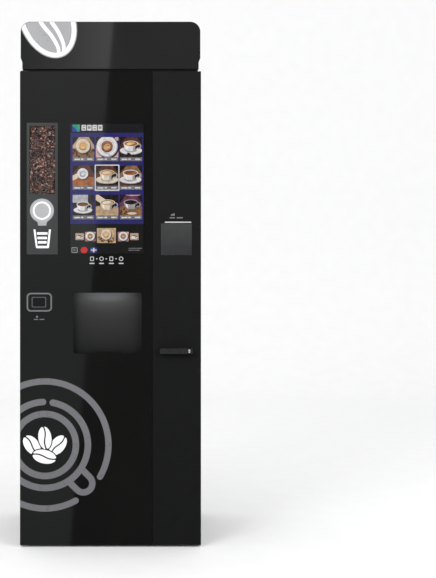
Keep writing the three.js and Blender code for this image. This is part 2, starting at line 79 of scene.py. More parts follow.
# ---- materials ----------------------------------------------------------------------
class Nodes:
    """A material's node tree with short calls for the nodes used here."""

    def __init__(self, name):
        self.material = bpy.data.materials.new(name)
        self.material.use_nodes = True
        self.tree = self.material.node_tree
        self.shader = self.tree.nodes["Principled BSDF"]
        self.coords = self.tree.nodes.new("ShaderNodeTexCoord").outputs["Object"]

    def node(self, kind, **settings):
        made = self.tree.nodes.new(kind)
        for key, value in settings.items():
            setattr(made, key, value)
        return made

    def link(self, source, target):
        self.tree.links.new(source, target)

    def constants(self, values):
        for name, value in values.items():
            self.shader.inputs[name].default_value = value

    def noise(self, scale, detail=3.0, roughness=0.5, stretch=None):
        noise = self.node("ShaderNodeTexNoise")
        noise.inputs["Scale"].default_value = scale
        noise.inputs["Detail"].default_value = detail
        noise.inputs["Roughness"].default_value = roughness
        vector = self.coords
        if stretch:
            mapping = self.node("ShaderNodeMapping")
            mapping.inputs["Scale"].default_value = stretch
            self.link(vector, mapping.inputs["Vector"])
            vector = mapping.outputs["Vector"]
        self.link(vector, noise.inputs["Vector"])
        return noise.outputs["Fac"]

    def ramp(self, value, stops):
        ramp = self.node("ShaderNodeValToRGB")
        elements = ramp.color_ramp.elements
        while len(elements) < len(stops):
            elements.new(0.5)
        for element, (position, colour) in zip(elements, stops):
            element.position = position
            element.color = (*colour, 1.0)
        self.link(value, ramp.inputs["Fac"])
        return ramp.outputs["Color"]

    def colour(self, value, stops):
        """Base colour from a value, through a ramp."""
        self.link(self.ramp(value, stops), self.shader.inputs["Base Color"])

    def roughness(self, value, low, high):
        """Roughness from a noise, between two limits."""
        remap = self.node("ShaderNodeMapRange")
        for name, limit in (("From Min", 0.3), ("From Max", 0.7), ("To Min", low), ("To Max", high)):
            remap.inputs[name].default_value = limit
        self.link(value, remap.inputs["Value"])
        self.link(remap.outputs["Result"], self.shader.inputs["Roughness"])

    def math(self, operation, first, second=None):
        maths = self.node("ShaderNodeMath", operation=operation)
        for socket, value in zip(maths.inputs, (first, second)):
            if isinstance(value, (int, float)):
                socket.default_value = value
            elif value is not None:
                self.link(value, socket)
        return maths.outputs["Value"]

    def mix(self, factor, first, second):
        """The first colour where the factor is 0, the second where it is 1."""
        mix = self.node("ShaderNodeMix", data_type="RGBA")
        self.link(factor, mix.inputs["Factor"])
        for socket, value in ((mix.inputs[6], first), (mix.inputs[7], second)):
            if isinstance(value, tuple):
                socket.default_value = (*value, 1.0)
            else:
                self.link(value, socket)
        return mix.outputs[2]

    def bump(self, height, strength, distance=GRAIN_DEPTH):
        bump = self.node("ShaderNodeBump")
        bump.inputs["Strength"].default_value = strength
        bump.inputs["Distance"].default_value = distance
        self.link(height, bump.inputs["Height"])
        self.link(bump.outputs["Normal"], self.shader.inputs["Normal"])

    def axis(self, name):
        split = self.node("ShaderNodeSeparateXYZ")
        self.link(self.coords, split.inputs["Vector"])
        return split.outputs[name]

    def emission_only(self, colour):
        """Makes the material give off the colour and nothing else."""
        emission = self.node("ShaderNodeEmission")
        self.link(colour, emission.inputs["Color"])
        output = next(node for node in self.tree.nodes if node.type == "OUTPUT_MATERIAL")
        self.link(emission.outputs["Emission"], output.inputs["Surface"])
        return self.material


def scaled(colour, factor):
    return tuple(min(1.0, channel * factor) for channel in colour)


def srgb(code):
    """Linear colour of a hex code."""
    channels = [int(code[i:i + 2], 16) / 255 for i in (0, 2, 4)]
    return tuple(c / 12.92 if c <= 0.04045 else ((c + 0.055) / 1.055) ** 2.4 for c in channels)


def surface(name, colour, rough, metal=0.0, mottle=0.08, spread=9.0, grain=0.25, grain_scale=1400.0,
            rough_spread=0.06, coat=0.0, glow=0.0, stretch=None, specular=0.5):
    """A finish with soft colour variation, uneven gloss and a fine surface grain."""
    n = Nodes(name)
    cloud = n.noise(spread, 5.0, stretch=stretch)
    n.colour(cloud, [(0.3, scaled(colour, 1 - mottle)), (0.7, scaled(colour, 1 + mottle))])
    fine = n.noise(grain_scale, 2.0, stretch=stretch)
    wear = n.noise(spread * 3.7, 4.0, stretch=stretch)
    n.roughness(wear, max(0.02, rough - rough_spread), rough + rough_spread)
    n.bump(fine, grain)
    n.constants({"Metallic": metal, "Specular IOR Level": specular})
    n.constants({"Coat Weight": coat, "Coat Roughness": 0.04})
    # glow gives off the finish's own colour: light for the lamps, painted light on the parts that are no lamp
    if glow:
        n.constants({"Emission Color": (*colour, 1.0), "Emission Strength": glow})
    return n.material


def gloss_glass(name, colour=(0.0062, 0.0062, 0.006)):
    """Back-printed black glass: very smooth, with faint wiping marks in the gloss."""
    n = Nodes(name)
    n.colour(n.noise(3.0, 4.0), [(0.3, scaled(colour, 0.9)), (0.7, scaled(colour, 1.15))])
    n.roughness(n.noise(2.2, 6.0, 0.6, stretch=(1.0, 1.0, 3.5)), 0.025, 0.06)
    n.constants({"IOR": 1.5})
    return n.material


def picture(name, dark, light):
    """A lit colour that varies like a photograph does, under the display's glass."""
    n = Nodes(name)
    colour = n.ramp(n.noise(70.0, 3.0), [(0.32, srgb(dark)), (0.68, srgb(light))])
    n.link(colour, n.shader.inputs["Emission Color"])
    n.constants({"Base Color": (0.004, 0.004, 0.004, 1.0), "Specular IOR Level": 0.9})
    n.constants({"Emission Strength": 0.85})
    n.roughness(n.noise(3.0, 4.0), 0.03, 0.06)
    return n.material


def ringed_steel(name, colour, ring_colour):
    """Black powder coat with the front's rings carried round the left corner."""
    n = Nodes(name)
    y, z, x = n.axis("Y"), n.axis("Z"), n.axis("X")
    across = n.math("SUBTRACT", (EDGE_X - RING_CENTRE[0]) * MM, n.math("SUBTRACT", y, FACE * MM))
    up = n.math("SUBTRACT", z, RING_CENTRE[1] * MM)
    radius = n.math("SQRT", n.math("ADD", n.math("MULTIPLY", across, across), n.math("MULTIPLY", up, up)))
    mask = None
    for inner, outer in RINGS:
        middle, half = (inner + outer) / 2 * MM, (outer - inner) / 2 * MM
        band = n.math("LESS_THAN", n.math("ABSOLUTE", n.math("SUBTRACT", radius, middle)), half)
        mask = band if mask is None else n.math("MAXIMUM", mask, band)
    mask = n.math("MULTIPLY", mask, n.math("LESS_THAN", x, (EDGE_X + 0.1) * MM))
    base = n.ramp(n.noise(9.0, 5.0), [(0.3, scaled(colour, 0.9)), (0.7, scaled(colour, 1.1))])
    n.link(n.mix(mask, base, ring_colour), n.shader.inputs["Base Color"])
    n.roughness(n.noise(30.0, 3.0), 0.42, 0.52)
    n.bump(n.noise(1500.0, 2.0), 0.3)
    return n.material


def tinted_gloss(n, rough_low, rough_high):
    """The even gloss and faint grain that both tinted panels have."""
    n.roughness(n.noise(40.0, 3.0), rough_low, rough_high)
    n.bump(n.noise(900.0, 2.0), 0.1, 0.0001)


def flap_glass(name):
    """The side pocket's flap: a tinted panel with painted light that makes it paler towards its upper edge.
    """
    low, high = 1071, 1190
    n = Nodes(name)
    height = n.math("DIVIDE", n.math("SUBTRACT", n.axis("Z"), low * MM), (high - low) * MM)
    uneven = n.math("ADD", height, n.math("MULTIPLY", n.math("SUBTRACT", n.noise(4.0, 2.0), 0.5), 0.12))
    # painted light from above: darker at the foot of the flap, paler at its upper edge
    top_light = n.math("POWER", n.math("MAXIMUM", uneven, 0.0), 1.0)
    n.colour(top_light, [(0.0, srgb("2b2b2e")), (1.0, srgb("3a3c3b"))])
    tinted_gloss(n, 0.28, 0.42)
    return n.material


def outlet_glass(name):
    """The outlet's tinted door: light from above fades over its upper quarter, darker to the sides."""
    foot, tall, middle, half_width = 0.711, 0.223, -0.014, 0.125
    n = Nodes(name)
    z = n.math("DIVIDE", n.math("SUBTRACT", n.axis("Z"), foot), tall)
    x = n.math("DIVIDE", n.math("ADD", n.axis("X"), -middle), half_width)
    falloff = n.math("SUBTRACT", 1.0, n.math("MULTIPLY", n.math("MULTIPLY", x, x), 0.45))
    glow = n.math("MULTIPLY", n.math("POWER", n.math("MAXIMUM", z, 0.0), 5.0), falloff)
    soft = n.math("MULTIPLY", n.math("MULTIPLY", n.math("MAXIMUM", z, 0.0), falloff), 0.42)
    cloud = n.noise(4.0, 2.0)
    total = n.math("ADD", n.math("MULTIPLY", glow, 0.5), n.math("ADD", soft, n.math("MULTIPLY", cloud, 0.02)))
    tones = ((0.0, "1d1d1d"), (0.35, "343434"), (0.55, "464646"), (1.0, "85878b"))
    n.colour(total, [(place, srgb(code)) for place, code in tones])
    tinted_gloss(n, 0.3, 0.4)
    n.constants({"Specular IOR Level": 0.2})
    return n.material


def lock_face(name):
    """A dark key cylinder with a painted highlight: a bright upright band down its middle stands in for the
    glint on its chrome.
    """
    low, high = mm_box("lock_cylinder")
    middle = (low[0] + high[0]) / 2
    n = Nodes(name)
    off = n.math("ABSOLUTE", n.math("SUBTRACT", n.axis("X"), middle * MM))
    # painted highlight: bright down the middle of the cylinder, darkening towards its sides
    glint_falloff = n.math("ADD", n.math("DIVIDE", off, 6 * MM), n.math("MULTIPLY", n.noise(300.0, 2.0), 0.05))
    n.colour(glint_falloff, [(0.0, (0.62, 0.62, 0.62)), (0.42, (0.5, 0.5, 0.5)), (0.52, (0.03, 0.03, 0.03))])
    n.constants({"Roughness": 0.35})
    return n.material


def clear_plastic(n, spread, dark, light):
    """Thin clear plastic whose faint grey cast varies between two tones."""
    n.colour(n.noise(spread, 3.0), [(0.3, dark), (0.7, light)])
    n.constants({"Transmission Weight": 1.0, "IOR": 1.12})


def clear_cover(name):
    """Clear acrylic with soft wiping marks."""
    n = Nodes(name)
    clear_plastic(n, 10.0, (0.9, 0.9, 0.9), (0.97, 0.97, 0.97))
    n.roughness(n.noise(20.0, 3.0), 0.0, 0.02)
    return n.material


def smoked_clear(name):
    """The hopper's smoked walls, lifted a little by the light inside."""
    n = Nodes(name)
    clear_plastic(n, 12.0, (0.74, 0.74, 0.75), (0.8, 0.8, 0.81))
    n.roughness(n.noise(25.0, 3.0), 0.02, 0.06)
    n.constants({"Emission Color": (0.9, 0.92, 0.95, 1.0), "Emission Strength": 0.018})
    return n.material


MAT = {}


def finish(name, *look, **more):
    MAT[name] = surface(name, *look, **more)


BLACK_COAT = (0.0135, 0.0138, 0.0138)
GREY_PRINT = srgb("6b6a6e")
finish("black_steel", BLACK_COAT, 0.48, grain=0.3)
finish("handle_black", (0.016, 0.016, 0.0163), 0.4, mottle=0.1, grain=0.2)
finish("matt_panel", (0.0012, 0.0014, 0.0014), 0.62, grain=0.2, mottle=0.04, specular=0.38)
finish("black_plastic", (0.012, 0.012, 0.0125), 0.35, grain=0.4, grain_scale=700)
finish("rubber", (0.01, 0.01, 0.01), 0.7, grain=0.5, grain_scale=500)
finish("grey_steel", (0.23, 0.235, 0.25), 0.42, mottle=0.05)
finish("bulkhead", (0.17, 0.173, 0.185), 0.42, mottle=0.06)
finish("white_plastic", (0.74, 0.745, 0.755), 0.35, mottle=0.02, grain=0.2, grain_scale=900)
finish("white_steel", (0.75, 0.76, 0.79), 0.38, mottle=0.03)
finish("grey_plastic", (0.13, 0.133, 0.14), 0.38, mottle=0.06, grain=0.35, grain_scale=800)
# the pale plastic glows faintly: painted light, it is no lamp
finish("pale_plastic", (0.36, 0.365, 0.375), 0.38, mottle=0.05, grain=0.3, grain_scale=800, glow=0.06)
finish("silver", (0.56, 0.57, 0.58), 0.28, metal=1.0, grain=0.6, grain_scale=300, stretch=(1.0, 1.0, 0.02))
finish("chrome", (0.7, 0.7, 0.71), 0.12, metal=1.0, grain=0.05)
finish("lamp", (0.9, 0.94, 1.0), 0.3, mottle=0.02, glow=6.0)
finish("display_panel", srgb("363939"), 0.4, grain=0.3, spread=60.0)
finish("window_dark", (0.004, 0.004, 0.0045), 0.08, mottle=0.1, grain=0.05)
finish("bean", (0.085, 0.024, 0.014), 0.22, mottle=0.5, spread=90.0, grain=0.4, grain_scale=600, coat=0.7)
finish("bean_dark", (0.02, 0.009, 0.006), 0.5, mottle=0.4, spread=80.0)
finish("bean_black", (0.008, 0.004, 0.0035), 0.3, mottle=0.3, spread=60.0)
finish("bean_light", (0.2, 0.07, 0.042), 0.25, mottle=0.3, spread=90.0, grain=0.4, coat=0.7)
# whole beans in a pale colour: a painted highlight for the glints on the beans
finish("bean_highlight", (0.45, 0.25, 0.19), 0.2, mottle=0.2, spread=90.0, grain=0.2, coat=0.8)
finish("red_glow", (0.5, 0.03, 0.02), 0.3, glow=0.8)
finish("clear_hose", (0.55, 0.56, 0.58), 0.25, mottle=0.04, grain=0.1)
finish("grey_hose", (0.1, 0.1, 0.105), 0.45, grain=0.2)
finish("dark_bracket", (0.03, 0.03, 0.032), 0.35, mottle=0.1, grain=0.3)
finish("black_gloss", (0.008, 0.008, 0.009), 0.12, mottle=0.1, grain=0.1, coat=0.6)
finish("soft_grey", (0.42, 0.42, 0.43), 0.4, mottle=0.05, grain=0.2)
finish("seam_grey", (0.5, 0.5, 0.51), 0.5, mottle=0.05, grain=0.2)
finish("label_pale", (0.7, 0.7, 0.71), 0.5, mottle=0.03, grain=0.1)
finish("dark_print", (0.03, 0.03, 0.032), 0.4, mottle=0.05, grain=0.1)
# the lilac panel glows: painted light on a cover that lies in shade
finish("lilac_panel", (0.42, 0.42, 0.54), 0.3, mottle=0.05, grain=0.2, glow=0.18)
finish("white_panel", (0.78, 0.78, 0.8), 0.35, mottle=0.02, grain=0.2)
finish("dark_violet", (0.01, 0.01, 0.05), 0.2, mottle=0.1, grain=0.1)
finish("strip_light", (0.5, 0.51, 0.52), 0.3, mottle=0.02, glow=0.6)
# three copies of the brewer's grey: the pale glowing one and the brighter one are painted light, the mid one
# is painted shade
finish("brewer_pale", (0.46, 0.465, 0.475), 0.4, mottle=0.04, grain=0.3, grain_scale=800, glow=0.36)
finish("brewer_bright", (0.6, 0.605, 0.615), 0.35, mottle=0.04, grain=0.3, grain_scale=800)
finish("brewer_mid", (0.24, 0.242, 0.25), 0.4, mottle=0.05, grain=0.3, grain_scale=800)
finish("grey_dark", (0.07, 0.071, 0.075), 0.4, mottle=0.06, grain=0.3, grain_scale=800)
finish("panel_grey", (0.4, 0.4, 0.41), 0.4, mottle=0.04)
finish("module_grey", (0.2, 0.2, 0.215), 0.4, mottle=0.05)
# the grinder's white glows: painted light, as the closed-in left side gets little light
finish("grinder_white", (0.66, 0.665, 0.68), 0.3, mottle=0.03, grain=0.3, glow=0.36)
finish("wall_mark", (0.06, 0.06, 0.06), 0.5, mottle=0.1, grain=0.2)
finish("white_cap", (0.7, 0.7, 0.71), 0.35, mottle=0.03, grain=0.4, grain_scale=500)
# the can's white glows: painted light on a can in the lower compartment's shade
finish("can_white", (0.8, 0.805, 0.81), 0.42, mottle=0.03, grain=0.2, grain_scale=500, glow=0.27)
# the vent's white glows: painted light on a plate that lies in shade at the back
finish("vent_white", (0.85, 0.85, 0.86), 0.4, mottle=0.02, grain=0.2, glow=0.45)
# the valve grey glows: painted light on a box in the lower compartment's shade
finish("valve_grey", (0.62, 0.62, 0.64), 0.38, mottle=0.04, glow=0.14)
finish("sill_black", (0.0035, 0.0036, 0.0036), 0.55, mottle=0.1, grain=0.3)
# the bright panel glows a little: painted light on a panel deep in shade
finish("panel_bright", (0.6, 0.6, 0.61), 0.38, mottle=0.05, glow=0.08)
finish("ceiling_grey", (0.06, 0.06, 0.062), 0.5)
PRINTS = {
    "grey_print": (GREY_PRINT, 0.03), "white_print": ((0.85, 0.85, 0.86), 0.02),
    "display_white": ((0.86, 0.87, 0.88), 0.02), "display_disc": (srgb("a5a6a8"), 0.03),
    "display_inner": (srgb("a6a7a9"), 0.04), "display_neck": (srgb("9fa0a2"), 0.05),
    "halo_print": (srgb("b9b9ba"), 0.04), "soft_print": (srgb("6d6e6f"), 0.04),
    "bean_print": (srgb("9c9c9f"), 0.04), "pale_print": (srgb("b4b4b6"), 0.04),
}
for print_name, (colour, mottle) in PRINTS.items():
    finish(print_name, colour, 0.3, mottle=mottle, grain=0.1)
finish("bright_lip", srgb("b8b8ba"), 0.35, mottle=0.05, grain=0.1)
MAT["ringed_steel"] = ringed_steel("ringed_steel", BLACK_COAT, GREY_PRINT)
MAT["gloss_panel"] = gloss_glass("gloss_panel")
MAT["hood_gloss"] = gloss_glass("hood_gloss", (0.0155, 0.0155, 0.0155))
MAT["lock_face"] = lock_face("lock_face")
MAT["smoked"] = smoked_clear("smoked")
MAT["clear_cover"] = clear_cover("clear_cover")
MAT["outlet_tint"] = outlet_glass("outlet_tint")
MAT["flap_tint"] = flap_glass("flap_tint")
LIT = {  # what the screen shows: the darker and the lighter tone of each colour
    "header": "17171a 1c1c20", "blue": "2a2866 322f70", "night": "151516 1b1b1c", "teal": "23908a 2b9c8e",
    "deep_blue": "1f3f96 2c4fa8", "green": "3aa36c 52b37c", "words": "d2d0d2 e6e4e6",
    "caption": "69676b 87858a", "red": "cf1f28 e0303a", "tan": "a88a6c d2b592", "wood": "74543a 9a7350",
    "rose": "8f5a58 c08a86", "rose_light": "c49a96 e2c0bc", "brown": "4a2c22 6c4432", "dark": "231c1b 3c3432",
    "orange": "8a5030 b87444", "purple": "4c2c46 7a4a62", "white": "d8d4d4 f2efee", "glare": "f4f2f4 ffffff",
    "window": "a4a6ac c8cace", "steel": "8c90a0 c4c8d4", "cream": "d8c2a6 ecdcc6", "shade": "8f8a8e b8b4b6",
    "shadow": "140f0e 2a2020", "coffee": "6a3c22 8a5432", "mocha": "8a5a44 a8745a",
    "espresso": "1e120e 38221a", "crema": "a8622c d0843c", "gold": "e0a860 f4d8a4", "latte": "c89864 e2bc8c",
    "bean": "3c2018 5c3424",
}
for lit_name, tones in LIT.items():
    MAT[f"lit_{lit_name}"] = picture(f"lit_{lit_name}", *tones.split())

SLOT_LOOKS = {  # a record slot, and the materials of this script that belong to it
    "black_steel": "black_steel dark_bracket wall_mark", "grey_steel": "grey_steel panel_bright panel_grey",
    "white_steel": "white_steel white_panel lilac_panel", "silver": "silver chrome grinder_white bright_lip",
    "black_plastic": "black_plastic black_gloss dark_violet window_dark",
    "grey_plastic": "grey_plastic pale_plastic brewer_pale brewer_bright brewer_mid module_grey grey_dark "
                    "valve_grey dark_print",
    "white_plastic": "white_plastic can_white white_cap vent_white label_pale soft_grey seam_grey clear_hose",
    "rubber": "rubber grey_hose", "lamp": "lamp strip_light red_glow", "smoked": "clear_cover",
    "gloss_panel": "gloss_panel grey_print white_print pale_print", "display": "display_panel bean_dark",
}
SLOT_OF = {look: slot for slot, looks in SLOT_LOOKS.items() for look in looks.split()}


# ---- mesh helpers -------------------------------------------------------------------
def finish_mesh(name, bm, material, body, slot=None, smooth=False, bevel=0.0):
    bmesh.ops.recalc_face_normals(bm, faces=bm.faces)
    mesh = bpy.data.meshes.new(name)
    bm.to_mesh(mesh)
    bm.free()
    made = bpy.data.objects.new(name, mesh)
    scene.collection.objects.link(made)
    mesh.materials.append(MAT[material])
    if smooth:
        mesh.polygons.foreach_set("use_smooth", [True] * len(mesh.polygons))
    if bevel:
        add_bevel(made, bevel)
    slot = slot or SLOT_OF[material]
    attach(made, body)
    return made


def add_bevel(thing, width):
    bevel = thing.modifiers.new("edge", "BEVEL")
    bevel.width = width * MM
    bevel.segments = 2
    bevel.limit_method = "ANGLE"
    bevel.angle_limit = math.radians(35)
    bevel.harden_normals = False


def circle(x, z, radius, count=48, start=0.0, end=360.0):
    """Points on a circle, or on the arc from start to end, in degrees."""
    full = abs(end - start) >= 360
    steps = count if full else count + 1
    angles = [math.radians(start + (end - start) * i / count) for i in range(steps)]
    return [(x + radius * math.cos(angle), z + radius * math.sin(angle)) for angle in angles]


def turned_points(points, x, z, tilt):
    """An outline turned about its origin, then moved to (x, z)."""
    c, s = math.cos(math.radians(tilt)), math.sin(math.radians(tilt))
    return [(x + u * c - v * s, z + u * s + v * c) for u, v in points]


def ellipse(x, z, wide, high, tilt=0.0, count=40):
    return turned_points([(u * wide, v * high) for u, v in circle(0, 0, 1, count)], x, z, tilt)


def box_outline(x0, x1, z0, z1):
    return [(x0, z0), (x1, z0), (x1, z1), (x0, z1)]


def rounded(x0, x1, z0, z1, radius, count=6):
    """A rectangle with round corners."""
    corners = [(x1 - radius, z0 + radius, -90), (x1 - radius, z1 - radius, 0),
               (x0 + radius, z1 - radius, 90), (x0 + radius, z0 + radius, 180)]
    points = []
    for cx, cz, start in corners:
        points += circle(cx, cz, radius, count, start, start + 90)
    return points


def arc_band(x, z, inner, outer, start, end, count=64, caps=True):
    """A curved line of even width, with round ends where caps is set."""
    width = (outer - inner) / 2
    middle = (outer + inner) / 2

    def cap(angle, turn):
        cx, cz = x + middle * math.cos(math.radians(angle)), z + middle * math.sin(math.radians(angle))
        return circle(cx, cz, width, 10, angle + turn, angle + turn + 180)[1:-1] if caps else []

    return (circle(x, z, outer, count, start, end) + cap(end, 0)
            + circle(x, z, inner, count, end, start) + cap(start, 180))


def both_sides(line, first_width, last_width):
    """The left and right edge of a line whose width runs from the first to the last width."""
    left, right = [], []
    for i, (x, z) in enumerate(line):
        before, after = line[max(i - 1, 0)], line[min(i + 1, len(line) - 1)]
        along = Vector((after[0] - before[0], after[1] - before[1])).normalized()
        half = (first_width + (last_width - first_width) * i / (len(line) - 1)) / 2
        left.append((x - along.y * half, z + along.x * half))
        right.append((x + along.y * half, z - along.x * half))
    return left, right


def stroke(points, width):
    """An open line of even width with round ends, as one outline of points."""
    left, right = both_sides(points, width, width)

    def cap(end, towards):
        angle = math.degrees(math.atan2(towards[1] - end[1], towards[0] - end[0]))
        return circle(end[0], end[1], width / 2, 8, angle, angle - 180)[1:-1]

    return left + cap(points[-1], left[-1]) + right[::-1] + cap(points[0], right[0])


def ribbon(line, first_width, last_width):
    """A line of changing width with square ends, as an outline."""
    left, right = both_sides(line, first_width, last_width)
    return left + right[::-1]


def between(points, t):
    """A point on the smooth curve through four points, t of the way from the second to the third."""
    return tuple(0.5 * (2 * b + (c - a) * t + (2 * a - 5 * b + 4 * c - d) * t * t
                        + (3 * b - a - 3 * c + d) * t ** 3) for a, b, c, d in zip(*points))


def smooth_line(points, count=20):
    """Points along a smooth curve through the given ones."""
    line = []
    for i in range(len(points) - 1):
        around = (points[max(i - 1, 0)], points[i], points[i + 1], points[min(i + 2, len(points) - 1)])
        line += [between(around, k / count) for k in range(count)]
    return line + [tuple(points[-1])]


def near(start, end, reach):
    """A point on the way from start to end, no further away than reach."""
    share = min(1.0, reach / math.dist(start, end))
    return start[0] + (end[0] - start[0]) * share, start[1] + (end[1] - start[1]) * share


def smooth_loop(points, longest=60, count=5):
    """A closed outline with its corners drawn as soft curves; sides over the longest stay straight."""
    loop = []
    total = len(points)
    for i in range(total):
        p0, p1, p2, p3 = (points[(i + k - 1) % total] for k in range(4))
        span = math.dist(p1, p2)
        if span > longest:
            loop.append(p1)
            continue
        around = (near(p1, p0, span), p1, p2, near(p2, p3, span))
        loop += [between(around, k / count) for k in range(count)]
    return loop


def clipped(points, outline):
    """The part of one outline that lies inside another, convex, anticlockwise one."""
    for (ax, az), (bx, bz) in zip(outline, outline[1:] + outline[:1]):
        kept = []
        for (px, pz), (qx, qz) in zip(points, points[1:] + points[:1]):
            before = (bx - ax) * (pz - az) - (bz - az) * (px - ax)
            after = (bx - ax) * (qz - az) - (bz - az) * (qx - ax)
            if before >= 0:
                kept.append((px, pz))
            if (before >= 0) != (after >= 0):
                share = before / (before - after)
                kept.append((px + (qx - px) * share, pz + (qz - pz) * share))
        points = kept
        if len(points) < 3:
            return []
    apart = [p for p, q in zip(points, points[1:] + points[:1]) if math.dist(p, q) > 0.01]
    return apart if len(apart) > 2 else []


def join_rings(bm, rings, closed=True):
    """Faces between neighbouring rings of vertices; a ring of one vertex is a point."""
    for low, high in zip(rings, rings[1:]):
        count = max(len(low), len(high))
        for i in range(count if closed else count - 1):
            j = (i + 1) % count
            if len(low) == 1 and len(high) == 1:
                continue
            if len(low) == 1:
                bm.faces.new((low[0], high[i], high[j]))
            elif len(high) == 1:
                bm.faces.new((low[i], low[j], high[0]))
            else:
                bm.faces.new((low[i], low[j], high[j], high[i]))


def plate(name, loops, y_front, y_back, material, body="cabinet", slot=None, bevel=0.0, clip_left=None):
    """A flat piece facing the front: an outline of (x, z), further loops are holes."""
    bm = bmesh.new()
    if isinstance(loops[0][0], (int, float)):
        loops = [loops]
    edges = []
    for loop in loops:
        verts = [bm.verts.new(Vector((x, y_front, z)) * MM) for x, z in loop]
        edges += [bm.edges.new((verts[i], verts[(i + 1) % len(verts)])) for i in range(len(verts))]
    if len(loops) == 1:
        bm.faces.new(verts)
    else:
        bmesh.ops.triangle_fill(bm, use_beauty=True, use_dissolve=False, edges=edges)
    push = bmesh.ops.extrude_face_region(bm, geom=list(bm.faces), use_keep_orig=True)
    moved = [item for item in push["geom"] if isinstance(item, bmesh.types.BMVert)]
    bmesh.ops.translate(bm, verts=moved, vec=Vector((0, (y_back - y_front) * MM, 0)))
    if clip_left is not None:
        everything = list(bm.verts) + list(bm.edges) + list(bm.faces)
        bmesh.ops.bisect_plane(bm, geom=everything, plane_co=Vector((clip_left * MM, 0, 0)),
                               plane_no=Vector((-1, 0, 0)), clear_outer=True)
        bmesh.ops.edgeloop_fill(bm, edges=[edge for edge in bm.edges if edge.is_boundary])
    return finish_mesh(name, bm, material, body, slot, bevel=bevel)


def plates(front, rows, body="cabinet"):
    """Flat pieces on one face. A row: name, outline, how far proud its front and back stand, look, edge."""
    for name, outline, proud, gap, material, bevel in rows:
        plate(name, outline, front - proud, front - gap, material, body, bevel=bevel)


def printed(name, outline, material="grey_print", front=FACE, slot=None, clip_left=None, proud=PRINT):
    """A thin graphic on the door."""
    plate(name, outline, front - proud, front + SUNK, material, "door", slot, clip_left=clip_left)


def block(name, x, y, z, material, body="cabinet", slot=None, bevel=0.8):
    """A block with eased edges, for casings and brackets."""
    bm = bmesh.new()
    bmesh.ops.create_cube(bm, size=1.0)
    for vert in bm.verts:
        spans = zip((x, y, z), vert.co)
        vert.co = Vector([(low + high) / 2 + share * (high - low) for (low, high), share in spans]) * MM
    bmesh.ops.bevel(bm, geom=list(bm.edges), offset=bevel * MM, segments=2, affect="EDGES", profile=0.6)
    return finish_mesh(name, bm, material, body, slot)


TURN = {"Z": Matrix(), "Y": Matrix.Rotation(math.radians(90), 4, "X")}


def turned(name, profile, place, material, body="cabinet", slot=None, axis="Y", count=32, smooth=True):
    """A turned piece: a profile of (radius, height), from axis to axis, about an axis through place."""
    bm = bmesh.new()
    rings = []
    for radius, height in profile:
        angles = [math.tau * i / count for i in range(count)] if radius else [0.0]
        wide = radius * MM
        rings.append([bm.verts.new((wide * math.cos(a), wide * math.sin(a), height * MM)) for a in angles])
    join_rings(bm, rings)
    bmesh.ops.transform(bm, matrix=Matrix.Translation(Vector(place) * MM) @ TURN[axis], verts=bm.verts)
    made = finish_mesh(name, bm, material, body, slot, smooth=smooth)
    if smooth:
        made.data.set_sharp_from_angle(angle=math.radians(40))
    return made


def tube(name, points, radius, material, count=12):
    """A round hose or rod swept along a smooth line of (x, y, z) points."""
    line = [Vector(p) for p in smooth_line(points, 8)]
    bm = bmesh.new()
    rings = []
    side = Vector((0, 0, 1))
    for i, place in enumerate(line):
        along = (line[min(i + 1, len(line) - 1)] - line[max(i - 1, 0)]).normalized()
        if abs(along.dot(side)) > 0.95:
            side = Vector((1, 0, 0)) if abs(along.x) < 0.9 else Vector((0, 1, 0))
        across = along.cross(side).normalized()
        side = across.cross(along).normalized()
        ring = []
        for angle in [math.tau * k / count for k in range(count)]:
            out = across * math.cos(angle) + side * math.sin(angle)
            ring.append(bm.verts.new((place + out * radius) * MM))
        rings.append(ring)
    join_rings(bm, rings)
    bm.faces.new(rings[0][::-1])
    bm.faces.new(rings[-1])
    return finish_mesh(name, bm, material, "cabinet", smooth=True)


def screw(name, x, y, z, body="cabinet", radius=4.0, material="chrome"):
    """A pan-head screw whose head faces the front."""
    profile = [(0, 0.6), (radius * 0.35, 0.6), (radius * 0.4, 1.6), (radius * 0.8, 1.4), (radius, 0.7),
               (radius, 0), (0, 0)]
    turned(name, profile, (x, y, z), material, body, "silver", count=16)


def bolt_row(prefix, places, y, radius=4.0, material="chrome"):
    for number, (x, z) in enumerate(places, 1):
        screw(f"{prefix}_{number}", x, y, z, radius=radius, material=material)


def rear_bolts(prefix, places, y, body="door"):
    """Screws whose heads face the rear."""
    head = [(0, -0.5), (1.6, -0.5), (1.8, -1.5), (3.4, -1.3), (4.2, -0.6), (4.2, 0), (0, 0)]
    for number, (x, z) in enumerate(places, 1):
        turned(f"{prefix}_{number}", head, (x, y, z), "chrome", body, count=16)


class Collage:
    """One flat picture: thin outlines stacked towards the viewer, made as a single piece."""

    def __init__(self, name, y, frame_outline=None, step=0.05):
        self.name, self.y, self.frame, self.step = name, y, frame_outline, step
        self.bm = bmesh.new()
        self.materials = []
        self.level = 0

    def add(self, material, outline, level=None):
        self.level = self.level + 1 if level is None else level
        if self.frame:
            outline = clipped(outline, self.frame)
        if len(outline) < 3:
            return
        if material not in self.materials:
            self.materials.append(material)
        front = self.y - self.step * self.level
        rows = []
        for y in (front, front + self.step * 0.6):
            rows.append([self.bm.verts.new(Vector((x, y, z)) * MM) for x, z in outline])
        faces = [self.bm.faces.new(rows[0]), self.bm.faces.new(rows[1][::-1])]
        for i in range(len(outline)):
            j = (i + 1) % len(outline)
            faces.append(self.bm.faces.new((rows[0][i], rows[1][i], rows[1][j], rows[0][j])))
        for face in faces:
            face.material_index = self.materials.index(material)

    def done(self, body="door", slot="screen"):
        made = finish_mesh(self.name, self.bm, self.materials[0], body, slot)
        for material in self.materials[1:]:
            made.data.materials.append(MAT[material])


